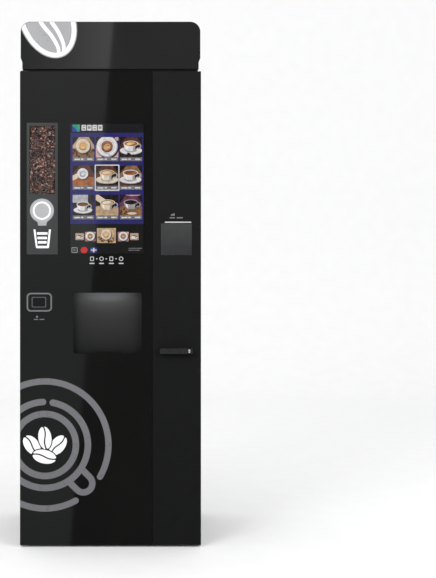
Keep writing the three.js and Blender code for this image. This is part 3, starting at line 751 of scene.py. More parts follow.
# ---- carried-over nodes -------------------------------------------------------------
SLOT_LOOK = {"screen": "window_dark", "display": "display_panel"}  # other slots carry their material's name
OWN_LOOK = {
    "door_tray": "ringed_steel", "side_panel_left": "ringed_steel", "bulkhead": "bulkhead",
    "pocket_flap": "flap_tint", "brewer": "pale_plastic", "grinder": "grinder_white",
    "water_can": "can_white", "hood_fascia": "hood_gloss", "hinge_top": "black_steel",
    "valve_box": "valve_grey", "led_bar": "lamp", "drip_grate": "dark_bracket",
    "ceiling_panel": "ceiling_grey", "control_box": "grey_steel", "lower_shelf": "soft_grey",
    "front_sill": "sill_black", "base_plinth": "sill_black", "door_handle": "handle_black",
    "lock_cylinder": "lock_face",
}
EDGES = {  # width of the eased edges, and the nodes that have them
    0.3: "touch_screen", 0.4: "hinge_top hinge_bottom", 0.6: "door_glass pocket_flap",
    0.8: "side_fascia outlet_door side_panel_left side_panel_right front_sill mixer_shelf lower_shelf "
         "chute_1 chute_2 chute_3",
    1.0: "door_tray hood_fascia grinder bean_hopper hopper_lid control_box valve_box drip_tray",
    1.2: "hood_shell waste_bin", 1.5: "door_handle led_bar", 2.0: "brewer",
}
EDGE_OF = {node: width for width, nodes in EDGES.items() for node in nodes.split()}


def dress_nodes():
    """Gives every CAD node its material and eased edges."""
    for row in frame["record"]["subparts"]:
        node, slot = row["node"], row["material_slot"]
        thing = frame["nodes"][node]
        thing.data.materials.clear()
        thing.data.materials.append(MAT[OWN_LOOK.get(node, SLOT_LOOK.get(slot, slot))])
        width = EDGE_OF.get(node, 0.8 if node.startswith("canister") else 0.0)
        if width:
            add_bevel(thing, width)


# ---- front graphics -----------------------------------------------------------------
def front_rings():
    """The large cup seen from above: three open rings and a handle."""
    x, z = RING_CENTRE
    (inner_0, inner_1), (middle_0, middle_1), (outer_0, outer_1) = RINGS
    rings = [("inner", [circle(x, z, inner_1, 96), circle(x, z, inner_0, 96)]),
             ("middle", arc_band(x, z, middle_0, middle_1, -267.5, 79.5, 128)),
             ("outer_top", arc_band(x, z, outer_0, outer_1, -30, 140, 96)),
             ("outer_low", arc_band(x, z, outer_0, outer_1, -140, -61, 48))]
    for part, outline in rings:
        printed(f"cup_ring_{part}", outline, clip_left=EDGE_X + 0.3)
    printed("cup_ring_handle", cup_handle_outline(x, z), proud=PRINT + 0.02)


def cup_handle_outline(x, z):
    """A U-shaped loop leaving the middle ring towards the lower right."""
    out = Vector((math.cos(math.radians(-45)), math.sin(math.radians(-45))))
    side = Vector((-out.y, out.x))
    start, bend, half = 157, 200, 33
    centre = Vector((x, z))
    line = [centre + out * start + side * half, centre + out * bend + side * half]
    for i in range(1, 12):
        angle = math.pi / 2 - math.pi * i / 12
        line.append(centre + out * (bend + half * math.cos(angle)) + side * half * math.sin(angle))
    line += [centre + out * bend - side * half, centre + out * start - side * half]
    return stroke([tuple(p) for p in line], 23.5)


def bean_halves(wide, high, crease, sway=0.16):
    """The two halves of a coffee bean about its own centre, split by a shallow S."""
    line = []
    for i in range(25):
        v = high * (1 - i / 12)
        line.append((math.sin(v / high * math.pi) * sway * wide, v))
    halves = []
    for side in (1, -1):
        inner = [(u + side * crease / 2, v) for u, v in line if abs(v) < high * 0.93]
        rim = [math.radians(12 + 156 * i / 24) for i in range(25)]
        halves.append(inner + [(wide * math.sin(a) * side, -high * math.cos(a)) for a in rim])
    return halves


def bean_cluster():
    """Four printed coffee beans in the middle of the rings; the left and right one lie behind."""
    x, z = RING_CENTRE
    beans = [("left", -48, -1, 26, 41, 38, 0.13, 0.16), ("right", 48, -1, 26, 41, -38, 0.13, 0.16),
             ("top", 0, 26, 24, 42, 8, 0.19, 0.25), ("low", -2, -43, 25, 44, 78, 0.19, 0.25)]
    for name, dx, dz, wide, high, tilt, gap_proud, proud in beans:
        place = (x + dx, z + dz, tilt)
        gap = turned_points(ellipse(0, 0, wide + 4, high + 4), *place)
        printed(f"bean_gap_{name}", gap, "gloss_panel", proud=gap_proud)
        for half, points in zip("ab", bean_halves(wide, high, 5)):
            printed(f"bean_{name}_{half}", turned_points(points, *place), "white_print", proud=proud)


def scanner():
    """The code reader's frame, glass and window, and the marks under it."""
    printed("scanner_frame", [rounded(-308, -215, 865, 934, 15), rounded(-302.5, -220.5, 870.5, 928.5, 10)])
    glass, window = rounded(-290, -236, 880, 919, 5), rounded(-286, -240, 883.5, 915.5, 4)
    printed("scanner_glass", glass, "grey_dark", slot="gloss_panel", proud=0.12)
    printed("scanner_window", window, "window_dark", slot="gloss_panel", proud=0.2)
    printed("scanner_icon", circle(-270, 846, 4.2, 16))
    for name, x0, x1 in (("a", -282, -266), ("b", -261, -243)):
        printed(f"scanner_label_{name}", rounded(x0, x1, 834.5, 838, 1.2, 3))


def step_icons():
    """Four small pictograms under the screen, with dots between and a bar below each."""
    z = 1059
    for i, x in enumerate((-68, -33, 3, 39)):
        outer, inner = circle(x, z, 8, 24), circle(x, z, 5.4, 24)
        if i % 2 == 0:
            outer = rounded(x - 7, x + 7, z - 8, z + 8, 2.5, 3)
            inner = rounded(x - 4.4, x + 4.4, z - 5.4, z + 5.4, 1, 3)
        printed(f"step_icon_{i + 1}", [outer, inner], "pale_print")
        printed(f"step_label_{i + 1}", rounded(x - 9, x + 9, 1040, 1044, 1.2, 3), "pale_print")
        if i < 3:
            printed(f"step_dot_{i + 1}", circle(x + 17.5, z, 2.4, 12), "pale_print")


def pocket_marks():
    front = mm_box("side_fascia")[0][1]
    arrow = [(222, 1222), (222, 1217), (236, 1217), (236, 1227)]
    printed("pocket_arrow", arrow, front=front, slot="matt_panel")
    for name, x0, x1 in (("a", 217, 237), ("b", 243, 266)):
        printed(f"pocket_label_{name}", rounded(x0, x1, 1207.5, 1212, 1.4, 3), front=front, slot="matt_panel")
    lip = rounded(199, 297, 1191, 1195.5, 2, 4)
    plate("pocket_lip", lip, front - 1.2, front + SUNK, "bright_lip", "door", bevel=0.4)


def hood_bean():
    """A large outlined coffee bean that runs off the hood's top edge."""
    low, high = mm_box("hood_fascia")
    panel = rounded(low[0] + 1.0, high[0] - 1.0, low[2] + 30, high[2] - 1.0, 37)
    centre, half_width, half_length, tilt = (-233.5, 1940.0), 102.4, 151.8, 23.5

    def outline(inset):
        return ellipse(*centre, half_width - inset, half_length - inset, tilt, 96)

    crease = smooth_line([(-256, 1985), (-243, 1945), (-231, 1921), (-206, 1888), (-187, 1852), (-181, 1828),
                          (-185, 1800)])
    bean = Collage("hood_bean", low[1], panel)
    for material, inset in (("soft_print", 0), ("halo_print", 2.2), ("white_print", 6), ("bean_print", 21)):
        bean.add(material, outline(inset))
    bean.frame = clipped(outline(20.5), panel)
    bean.add("white_print", ribbon(crease, 58, 27))
    bean.add("bean_print", ribbon(crease, 27, 3))
    bean.done(body="cabinet", slot="gloss_panel")


# ---- touch screen -------------------------------------------------------------------
SCREEN_FACE = mm_box("touch_screen")[0][1] - 0.05  # just before the CAD screen


def side_cup(c, x, z, size, cup="lit_white", drink="lit_coffee", crema="lit_crema", saucer=True):
    """A cup seen a little from above, on its saucer."""
    def at(*places):
        return [(x + size * u, z + size * v) for u, v in places]

    def oval(u, v, wide, high, tilt=0.0):
        return ellipse(x + size * u, z + size * v, size * wide, size * high, tilt)

    if saucer:
        c.add("lit_shadow", oval(0.1, -0.78, 1.45, 0.5))
        c.add("lit_shade", oval(0, -0.66, 1.38, 0.5))
        c.add(cup, oval(0, -0.6, 1.36, 0.46))
        c.add("lit_shade", oval(0, -0.62, 0.78, 0.24))
    c.add("lit_shade", circle(x + size * 0.95, z - size * 0.08, size * 0.34, 20))
    c.add("lit_shadow", circle(x + size * 0.95, z - size * 0.08, size * 0.2, 20))
    c.add(cup, at((-0.92, 0.22), (-0.8, -0.3), (-0.45, -0.68), (0.45, -0.68), (0.8, -0.3), (0.92, 0.22)))
    c.add("lit_shade", at((0.3, 0.1), (0.25, -0.66), (0.45, -0.68), (0.8, -0.3), (0.92, 0.22)))
    c.add("lit_shadow", at((0.62, 0.1), (0.5, -0.58), (0.78, -0.3), (0.92, 0.2)))
    c.add("lit_glare", at((-0.72, 0.1), (-0.58, -0.4), (-0.38, -0.55), (-0.44, 0.02)))
    c.add(cup, oval(0, 0.24, 0.93, 0.36))
    c.add("lit_bean", oval(0, 0.22, 0.82, 0.29))
    c.add(drink, oval(-0.03, 0.2, 0.76, 0.25))
    c.add(crema, oval(-0.08, 0.24, 0.5, 0.16, 8))


def top_cup(c, x, z, size, cup="lit_white", drink="lit_latte", art="lit_cream", handle=35):
    """A cup seen from above, on a round saucer, with a leaf poured into the milk."""
    def disc(material, u, v, radius):
        c.add(material, circle(x + size * u, z + size * v, size * radius, 32))

    def oval(material, u, v, wide, high):
        c.add(material, ellipse(x + size * u, z + size * v, size * wide, size * high, 20))

    disc("lit_shadow", 0.12, -0.14, 1.6)
    disc("lit_shade", 0, 0, 1.55)
    disc(cup, -0.03, 0.04, 1.45)
    angle = math.radians(handle)
    out = (x + size * 1.25 * math.cos(angle), z + size * 1.25 * math.sin(angle))
    c.add(cup, stroke([(x, z), out], size * 0.3))
    disc("lit_shade", 0, 0, 1.04)
    disc(cup, 0, 0, 1)
    disc(drink, 0, 0, 0.84)
    c.add("lit_bean", arc_band(x, z, size * 0.72, size * 0.86, 200, 330, 12, caps=False))
    oval(art, 0, -0.04, 0.52, 0.4)
    oval(drink, 0.04, 0.1, 0.3, 0.13)
    oval(art, -0.02, -0.08, 0.18, 0.2)


def scattered_beans(c, x0, x1, z0, z1, count, size):
    for _ in range(count):
        x, z = random.uniform(x0, x1), random.uniform(z0, z1)
        tilt = random.uniform(0, 180)
        c.add("lit_bean", ellipse(x, z, size, size * 0.66, tilt, 12))
        c.add("lit_shadow", ellipse(x, z, size * 0.75, size * 0.1, tilt, 10))


def tile(name, x0, x1, z0, z1, back, table, scene_of_cup):
    """One drink's picture, with a caption strip below it."""
    frame_outline = rounded(x0, x1, z0, z1, 1.5, 2)
    c = Collage(name, SCREEN_FACE - 0.2, frame_outline, step=0.03)
    width, height = x1 - x0, z1 - z0
    c.add(back, frame_outline)
    c.add(table, [(x0, z0), (x1, z0), (x1, z0 + height * 0.5), (x0 + width * 0.4, z0 + height * 0.6),
                  (x0, z0 + height * 0.52)])
    for side, reach in ((x0, 0.3), (x1, -0.24)):
        c.add("lit_shadow", [(side, z1), (side + width * reach, z1), (side, z1 - height * 0.34)])
    scene_of_cup(c, (x0 + x1) / 2, z0 + height * 0.57, width * 1.06)
    c.add("lit_caption", box_outline(x0, x1, z0, z0 + height * 0.16))
    for start, end, foot in ((0.08, 0.34, 0.045), (0.38, 0.5, 0.05), (0.68, 0.92, 0.05)):
        low = z0 + height * foot
        c.add("lit_words", rounded(x0 + width * start, x0 + width * end, low, low + height * 0.055, 1, 2))
    c.done()


def latte_from_above(c, x, z, w):
    scattered_beans(c, x - w * 0.46, x + w * 0.46, z - w * 0.42, z - w * 0.1, 18, w * 0.06)
    top_cup(c, x - w * 0.02, z + w * 0.06, w * 0.21, cup="lit_cream", art="lit_gold", handle=20)


def saucer_and_spoon(c, x, z, w):
    c.add("lit_rose_light", circle(x + w * 0.42, z + w * 0.38, w * 0.1, 16))
    top_cup(c, x, z + w * 0.04, w * 0.29, handle=-60, drink="lit_mocha", art="lit_latte")
    c.add("lit_steel", stroke([(x - w * 0.1, z - w * 0.2), (x + w * 0.16, z - w * 0.34)], w * 0.05))


def strong_cup(c, x, z, w):
    side_cup(c, x, z + w * 0.08, w * 0.34, drink="lit_crema", crema="lit_gold")
    c.add("lit_steel", stroke([(x - w * 0.34, z - w * 0.02), (x - w * 0.05, z - w * 0.28)], w * 0.035))
    c.add("lit_shadow", ellipse(x - w * 0.08, z - w * 0.28, w * 0.09, w * 0.05, -20))


def small_cup(c, x, z, w):
    c.add("lit_cream", stroke([(x - w * 0.5, z - w * 0.1), (x - w * 0.16, z + w * 0.06)], w * 0.2))
    top_cup(c, x - w * 0.03, z + w * 0.1, w * 0.16, drink="lit_steel", art="lit_white", handle=200)


def chosen_cup(c, x, z, w):
    side_cup(c, x, z + w * 0.06, w * 0.34, drink="lit_latte", crema="lit_cream", cup="lit_cream")


def wide_cup(c, x, z, w):
    side_cup(c, x - w * 0.02, z + w * 0.06, w * 0.34, drink="lit_orange", crema="lit_coffee")


def low_saucer(c, x, z, w):
    c.add("lit_window", box_outline(x - w * 0.5, x + w * 0.2, z + w * 0.12, z + w * 0.5))
    side_cup(c, x - w * 0.02, z - w * 0.02, w * 0.3, crema="lit_coffee")


def jug_and_cup(c, x, z, w):
    c.add("lit_cream", stroke([(x - w * 0.46, z + w * 0.36), (x - w * 0.1, z + w * 0.12)], w * 0.24))
    side_cup(c, x + w * 0.02, z + w * 0.04, w * 0.34, "lit_cream", "lit_latte", "lit_white", saucer=False)


def dark_cup(c, x, z, w):
    c.add("lit_rose_light", ellipse(x + w * 0.1, z + w * 0.46, w * 0.34, w * 0.06))
    scattered_beans(c, x - w * 0.45, x - w * 0.2, z - w * 0.38, z - w * 0.1, 6, w * 0.05)
    side_cup(c, x, z + w * 0.06, w * 0.32, "lit_shade", "lit_espresso", "lit_shadow", saucer=False)
    c.add("lit_cream", ellipse(x + w * 0.05, z - w * 0.34, w * 0.2, w * 0.05))


def screen_part(name, y, rows):
    """One collage from rows of material, outline and level."""
    c = Collage(name, y)
    for material, outline, level in rows:
        c.add(material, outline, level)
    c.done()


def touch_screen_picture():
    """What the lit screen shows: a header, nine drinks, a row of small pictures and three keys."""
    left, right = -147.5, 121.5
    screen_part("screen_ground", SCREEN_FACE, [
        ("lit_header", rounded(left, right, 1190, 1556, 2), 1),
        ("lit_blue", rounded(left, right, 1187, 1522, 1), 2),
        ("lit_night", rounded(left, right, 1077.5, 1187, 1), 2)])

    header = [("lit_teal", rounded(-140, -113, 1526, 1552, 2), 1),
              ("lit_deep_blue", [(-140, 1526), (-121, 1526), (-131, 1541), (-140, 1545)], 2),
              ("lit_green", [(-113, 1531), (-113, 1552), (-124, 1552)], 2)]
    for k, x in enumerate((-98, -78, -58, -38)):
        header += [("lit_words", rounded(x - 8.5, x + 8.5, 1530, 1551, 2, 2), 1),
                   ("lit_caption", rounded(x - 5, x + 5, 1534 + (k % 2) * 3, 1538.5 + (k % 2) * 4, 1, 2), 2),
                   ("lit_caption", rounded(x - 5, x + 5, 1544, 1546.5, 1, 2), 2)]
    screen_part("screen_header", SCREEN_FACE - 0.2, header)

    columns = ((-139, -60), (-54, 29), (34, 116))
    rows = ((1418, 1506), (1313, 1401), (1204, 1294))
    drinks = [("lit_tan", "lit_wood", latte_from_above), ("lit_rose", "lit_rose_light", saucer_and_spoon),
              ("lit_brown", "lit_dark", strong_cup), ("lit_brown", "lit_orange", small_cup),
              ("lit_brown", "lit_dark", chosen_cup), ("lit_wood", "lit_brown", wide_cup),
              ("lit_dark", "lit_dark", low_saucer), ("lit_shadow", "lit_tan", jug_and_cup),
              ("lit_purple", "lit_wood", dark_cup)]
    for number, (back, table, cup) in enumerate(drinks):
        tile(f"screen_drink_{number + 1}", *columns[number % 3], *rows[number // 3], back, table, cup)
    screen_part("screen_choice", SCREEN_FACE - 0.1, [("lit_words", rounded(-58, 33, 1308.5, 1405, 3), 1)])

    small = [(-129, -98, 1128, 1153, "lit_tan", wide_cup),
             (-94, -55, 1123, 1158, "lit_rose", saucer_and_spoon),
             (-50, 20, 1117, 1172, "lit_tan", latte_from_above),
             (27, 67, 1123, 1158, "lit_rose", saucer_and_spoon),
             (72, 103, 1128, 1153, "lit_tan", wide_cup)]
    for number, (x0, x1, z0, z1, back, cup) in enumerate(small, 1):
        outline = rounded(x0, x1, z0, z1, 1.5, 2)
        c = Collage(f"screen_small_{number}", SCREEN_FACE - 0.2, outline, step=0.03)
        c.add(back, outline)
        cup(c, (x0 + x1) / 2, (z0 + z1) / 2, (z1 - z0) * 1.12)
        c.done()

    screen_part("screen_keys", SCREEN_FACE - 0.2, [
        ("lit_shade", rounded(-143, -121, 1081, 1101, 3), 1),
        ("lit_night", rounded(-140.5, -123.5, 1083.5, 1098.5, 2), 2),
        ("lit_caption", rounded(-137, -128, 1087, 1095, 1.5), 3),
        ("lit_red", rounded(-109, -85, 1080, 1102, 9), 1),
        ("lit_orange", circle(-97, 1091, 4, 16), 2),
        ("lit_deep_blue", rounded(-74, -49, 1082, 1100, 4), 1),
        ("lit_rose_light", rounded(-72, -51, 1088.5, 1093.5, 1), 2),
        ("lit_words", rounded(-64, -59, 1083, 1099, 1), 2),
        ("lit_caption", rounded(66, 116, 1096, 1099, 1, 2), 1),
        ("lit_caption", rounded(66, 108, 1089, 1092, 1, 2), 1)])


# ---- bean display -------------------------------------------------------------------
def bean_display():
    """A framed panel with a window onto real beans, and two printed signs below it."""
    low, high = mm_box("bean_display")
    front = low[1]
    x0, x1, z0, z1 = window = (-298, -203, 1297, 1548)
    panel = [rounded(low[0], high[0], low[2], high[2], 2, 3), rounded(*window, 2, 3)]
    frame_face = plate("bean_display", panel, front, front + 8, "display_panel", "door", bevel=0.3)
    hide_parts("bean_display")
    well = rounded(x0 - 2, x1 + 2, z0 - 2, z1 + 2, 2, 3)
    plate("bean_well", well, front + 8.2, high[1], "bean_dark", "door")
    beans_in_window(window, front + 7.5)
    cover = rounded(x0 + 0.4, x1 - 0.4, z0 + 0.4, z1 - 0.4, 1.6, 3)
    plate("bean_window", cover, front + 0.9, front + 1.9, "clear_cover", "door")
    signs = Collage("bean_display_signs", front)
    x, z = -252, 1236
    neck = [(-274, 1204), (-267, 1190), (-266, 1181), (-236, 1181), (-235, 1190), (-227, 1204)]
    signs.add("display_neck", neck)
    for material, radius in (("display_disc", 44), ("display_white", 33.5), ("display_inner", 27)):
        signs.add(material, circle(x, z, radius, 64))
    cup = [(-283, 1167), (-219, 1167), (-226, 1100), (-229, 1098), (-271, 1098), (-274, 1100)]
    signs.add("display_white", cup[::-1], 1)
    signs.add("display_panel", [(-268.5, 1106.5), (-233, 1106.5), (-226, 1167.4), (-276, 1167.4)], 2)
    for z0, x0, x1 in ((1147.5, -270.5, -231), (1131, -268.5, -233), (1115, -267, -234.5)):
        signs.add("display_white", rounded(x0, x1, z0, z0 + 9, 2, 3), 3)
    signs.done(slot="display")


def beans_in_window(window, floor):
    """Many coffee beans lying against the window, as one mesh."""
    x0, x1, z0, z1 = window
    # the palest of these tones marks a few whole beans as painted highlights; the others vary the beans' own
    # colour
    shades, weights = ("bean_black", "bean", "bean_light", "bean_highlight"), (8, 8, 5, 1.6)
    pitch_x, pitch_z, start, rim, stagger, sway = 6.2, 5.2, 3, 2, 3.2, 1.2
    bm = bmesh.new()
    row = 0
    z = z0 + start
    while z < z1 - rim:
        x = x0 + start + (row % 2) * stagger
        while x < x1 - rim:
            before = len(bm.faces)
            place_x = x + random.uniform(-sway, sway)
            place_y = floor + random.uniform(-2.0, 0.6)
            place_z = z + random.uniform(-sway, sway)
            add_bean(bm, Vector((place_x, place_y, place_z)), random.uniform(3.3, 4.2))
            shade = random.choices(range(len(shades)), weights)[0]
            bm.faces.ensure_lookup_table()
            for face in bm.faces[before:]:
                face.material_index = shade
            x += pitch_x
        z += pitch_z
        row += 1
    beans = finish_mesh("display_beans", bm, shades[0], "door", "display", smooth=True)
    for material in shades[1:]:
        beans.data.materials.append(MAT[material])


def add_bean(bm, place, size):
    """One bean: an oval body with a crease pressed along its flat side."""
    spin, tip = random.uniform(0, math.tau), random.uniform(-0.5, 0.5)
    turn = Matrix.Rotation(spin, 3, "Y") @ Matrix.Rotation(tip, 3, "X")
    steps, count = 6, 10
    width, back, front, crease = 0.72, 0.5, 0.3, 0.22  # shares of the bean's half length
    rings = []
    for i in range(1, steps):
        polar = math.pi * i / steps
        ring = []
        for k in range(count):
            around = math.tau * k / count
            u = math.cos(polar) * size
            v = math.sin(polar) * math.cos(around) * size * width
            if math.sin(around) > 0:
                w = -abs(math.sin(polar) * math.sin(around)) * size * back
            else:
                w = math.sin(polar) * -math.sin(around) * size * front
            if abs(v) < size * 0.16 and w < 0:
                w += size * crease
            ring.append(bm.verts.new((place + turn @ Vector((u, w, v))) * MM))
        rings.append(ring)
    first, last = [bm.verts.new((place + turn @ Vector((side * size, 0, 0))) * MM) for side in (1, -1)]
    join_rings(bm, [[first], *rings, [last]])


# ---- equipment inside the cabinet ---------------------------------------------------
def ceiling_fittings():
    """Lamps, the hood's strip of light and the stays of the door hinge."""
    under = mm_box("ceiling_panel")[0][2] - 0.2
    block("lamp_short", (80, 228), (-4, 5), (under - 12, under - 2), "lamp", bevel=2)
    block("lamp_short_base", (74, 234), (-7, 8), (under - 2.2, under), "white_steel")
    bar_low, bar_high = mm_box("led_bar")
    block("lamp_clip_left", (bar_low[0] - 8.5, bar_low[0] - 0.5), (bar_low[1] + 1, bar_high[1] - 1),
          (under - 7, under), "white_plastic", bevel=0.5)
    hood_under = mm_box("hood_fascia")[0][2]
    block("hood_light_strip", (-322, 322), (-228, -206), (hood_under - 2.4, hood_under - 0.4), "strip_light",
          bevel=0.5)
    stay = [(-306, 1743), (-306, 1688), (-284, 1688), (-252, 1712), (-252, 1743)]
    stay_rib = [(-300, 1700), (-286, 1694), (-262, 1716), (-262, 1726), (-300, 1726)]
    plates(-187, [("hinge_stay_left", stay, 3, 0, "chrome", 0.8),
                  ("hinge_stay_rib", stay_rib, 5.5, 3, "white_steel", 0.8)])
    bolt_row("hinge_stay_bolt", [(-288, 1730), (-270, 1733), (-296, 1706)], -192.6, 5, "black_plastic")
    stop = [(252, 1743), (306, 1743), (306, 1634), (297, 1620), (268, 1692)]
    stop_rib = [(262, 1738), (278, 1738), (299, 1650), (294, 1642)]
    plates(-165.5, [("stop_bracket", stop, 2.5, 0, "dark_bracket", 0.8),
                    ("stop_bracket_rib", stop_rib, 5.5, 2.5, "grey_steel", 0.6)])
    bolt_row("stop_bracket_bolt", [(262, 1734), (290, 1728), (296, 1694), (292, 1640)], -171.4, 5)


def bulkhead_details():
    """Folded edge, clips, lining and connector on the wall behind the equipment."""
    low, high = mm_box("bulkhead")
    front = low[1] - 0.2
    block("bulkhead_edge", (low[0], high[0] - 2), (front - 9, front), (high[2] - 5, high[2]), "white_steel")
    bolt_row("bulkhead_clip", [(-147, 1707), (242, 1707), (-225, 1707)], front, 7.5, "black_plastic")
    lining = rounded(low[0], high[0], low[2] + 0.3, 1054, 1, 2)
    plates(front, [("bulkhead_cover_plate", rounded(-160, -128, 1230, 1330, 2, 3), 1.5, 0, "grey_steel", 0),
                   ("bulkhead_lower_lining", lining, 1, 0, "black_steel", 0)])
    face = front - 1.1
    block("connector", (-36, 10), (face - 9, face), (962, 985), "grey_plastic", bevel=1)
    for k, x in enumerate((-31, -17, -3), 1):
        block(f"connector_clip_{k}", (x, x + 9), (face - 12, face - 8), (984, 1001), "pale_plastic")
    bolt_row("lining_screw", [(283, 930), (266, 722), (285, 726), (-60, 1030), (140, 1034)], face, 3.5)
    block("hopper_back_box", (-248, -186), (46, face - 2), (1469, 1555), "pale_plastic", bevel=2)


def canister_details():
    """Latch marks, tabs, number plates and lid grips of the six canisters."""
    marks = [("latch", 11, 1479, 1483, 1.8, 1.2, "soft_grey", 0.4),
             ("tab", 12, 1561, 1565, 1.5, 0.9, "soft_grey", 0.3),
             ("plate", 14, 1356, 1373, 2, 0.6, "label_pale", 0),
             ("note", 12, 1336, 1349, 2, 0.5, "white_steel", 0)]
    for number in range(1, 7):
        body = f"canister_{number}"
        low, high = mm_box(body)
        front, middle = low[1], (low[0] + high[0]) / 2
        for part, half, z0, z1, radius, proud, material, bevel in marks:
            outline = rounded(middle - half, middle + half, z0, z1, radius, 3)
            plate(f"canister_{part}_{number}", outline, front - proud, front, material, body, "white_plastic",
                  bevel)
        number_label(f"canister_number_{number}", (0, number), middle, 1364.5, front - 0.6, body)
        lid_low, lid_high = mm_box(f"canister_lid_{number}")
        block(f"canister_lid_grip_{number}", (middle - 16, middle + 16), (lid_low[1] + 20, lid_low[1] + 30),
              (lid_high[2] - 2, lid_high[2] + 3), "white_plastic", f"canister_lid_{number}", bevel=1.2)


DIGIT_BARS = {0: "abcdef", 1: "bc", 2: "abged", 3: "abgcd", 4: "fgbc", 5: "afgcd", 6: "afgedc"}


def number_label(name, digits, x, z, front, body):
    """Plain two-digit number made of short bars."""
    wide, high, bar, gap = 8.5, 12.0, 3.0, 2.8
    label = Collage(name, front)
    for place, digit in enumerate(digits):
        left = x - wide - gap / 2 + place * (wide + gap)
        right, low, top, middle = left + wide, z - high / 2, z + high / 2, z
        bars = {"a": (left, right, top - bar, top), "g": (left, right, middle - bar / 2, middle + bar / 2),
                "d": (left, right, low, low + bar), "b": (right - bar, right, middle, top),
                "c": (right - bar, right, low, middle), "f": (left, left + bar, middle, top),
                "e": (left, left + bar, low, middle)}
        for key in DIGIT_BARS[digit]:
            label.add("dark_print", box_outline(*bars[key]), 1)
    label.done(body=body, slot="white_plastic")


def funnel_details():
    """A seam and an upper rim on each powder chute."""
    for number in (1, 2, 3):
        low, high = mm_box(f"chute_{number}")
        seam = rounded(low[0] + 4, high[0] - 4, 1272, 1273.4, 0.6, 2)
        rim = rounded(low[0] + 2, high[0] - 2, high[2] - 3, high[2] - 0.4, 1, 2)
        plates(low[1], [(f"chute_seam_{number}", seam, 0.3, 0, "seam_grey", 0),
                        (f"chute_rim_{number}", rim, 0.8, 0, "white_plastic", 0.3)])


SMALL_LAMP = [(0, 2.6), (3, 2), (3.6, 0), (0, 0)]


def band(radius, low, high, out):
    """Profile of a band round a bowl."""
    inner, outer = radius + 0.4, radius + out
    return [(inner, low), (outer, low), (outer, high), (inner, high), (inner, low)]


def small_mixer(number, x, y, radius):
    """The rim, band, funnel, knob and lamps on one narrow mixing unit."""
    top = 1209
    rim = [(radius + 1.2, top - 6), (radius + 2.2, top - 4), (radius + 2.2, top - 1), (radius + 0.4, top),
           (radius + 0.4, top - 7), (radius + 1.2, top - 6)]
    turned(f"mixer_rim_{number}", rim, (x, y, 0), "black_gloss", axis="Z", count=40)
    girth = band(radius, 1176, 1181, 1.6)
    turned(f"mixer_band_{number}", girth, (x, y, 0), "grey_plastic", axis="Z", count=40)
    front = y - radius + 2
    funnel = [(x - 15, 1158), (x - 5, 1118), (x + 5, 1118), (x + 15, 1158)]
    plate(f"mixer_funnel_{number}", funnel, front - 5, front - 0.3, "black_gloss", bevel=1.5)
    knob = [(0, 12), (9, 12), (11, 9), (11, 0), (0, 0)]
    turned(f"mixer_knob_{number}", knob, (x, front - 0.2, 1104), "black_plastic", count=24)
    turned(f"mixer_lamp_{number}", SMALL_LAMP, (x + 17, front - 0.2, 1092), "red_glow", count=14)
    strip = rounded(x - 20, x + 20, 1084, 1087, 1.2, 3)
    plate(f"mixer_lamp_strip_{number}", strip, front - 1, front - 0.2, "red_glow")


def mixer_details():
    """The mixing units, with the panels between them."""
    y = -105
    for number, x in enumerate((-36, 100, 167), 1):
        small_mixer(number, x, y, 27)
    big_mixer(254, y, 46)
    beside = [(-141, 1080), (-78, 1080), (-78, 1218), (-106, 1243), (-141, 1248)]
    between_units = [(-4, 1082), (57, 1082), (57, 1207), (48, 1224), (15, 1224), (-3, 1207), (-4, 1200)]
    roof = [(12, 1225), (52, 1225), (35, 1243), (29, 1243)]
    # the lilac cover beside the mixers carries a painted glow, lifting it out of the shade it lies in
    plate("panel_beside_mixers", beside, -74, -66, "lilac_panel", bevel=1.0)
    edge = [(-144.5, 1078), (-141.3, 1078), (-141.3, 1248), (-144.5, 1248)]
    plate("panel_beside_mixers_edge", edge, -78, -62, "white_steel")
    plate("panel_between_mixers", between_units, -142, -134, "white_panel", bevel=1.0)
    plate("panel_roof", roof, -146, -134, "black_plastic", bevel=0.6)
    lock = [(0, 3.5), (5.5, 3.5), (7.5, 2.4), (8, 0), (0, 0)]
    turned("panel_lock", lock, (12, -142.1, 1112), "dark_violet", count=24)
    for number, x in enumerate(((130, 137), (196.5, 202.5)), 1):
        block(f"mixer_divider_{number}", x, (-134, -60), (1081.4, 1208), "white_panel", bevel=1)


def big_mixer(x, y, radius):
    """The wide whipping unit at the right, with its stepped cover."""
    for number, levels in enumerate(((1209, 1221, 2.4), (1184, 1190, 1.4), (1166, 1171, 1.2)), 1):
        girth = band(radius, *levels)
        turned(f"whipper_band_{number}", girth, (x, y, 0), "black_gloss", axis="Z", count=48)
    front = y - radius + 2
    plates(front, [("whipper_cover", rounded(x - 38, x + 38, 1066, 1132, 6, 5), 4, 0.3, "black_plastic", 2),
                   ("whipper_step", rounded(x - 30, x + 30, 1094, 1126, 5, 5), 7, 4.1, "black_gloss", 1.5)])
    turned("whipper_lamp", SMALL_LAMP, (x - 28, front - 4.1, 1110), "red_glow", count=14)
    for number, (z, wide) in enumerate(((1202, 34), (1196, 26)), 1):
        dip = y - radius - 4
        hose = [(x - wide, y - 36, z), (x - wide / 2, dip, z - 6), (x + wide / 2, dip, z - 6),
                (x + wide, y - 36, z)]
        tube(f"whipper_hose_{number}", hose, 3.2, "black_gloss")


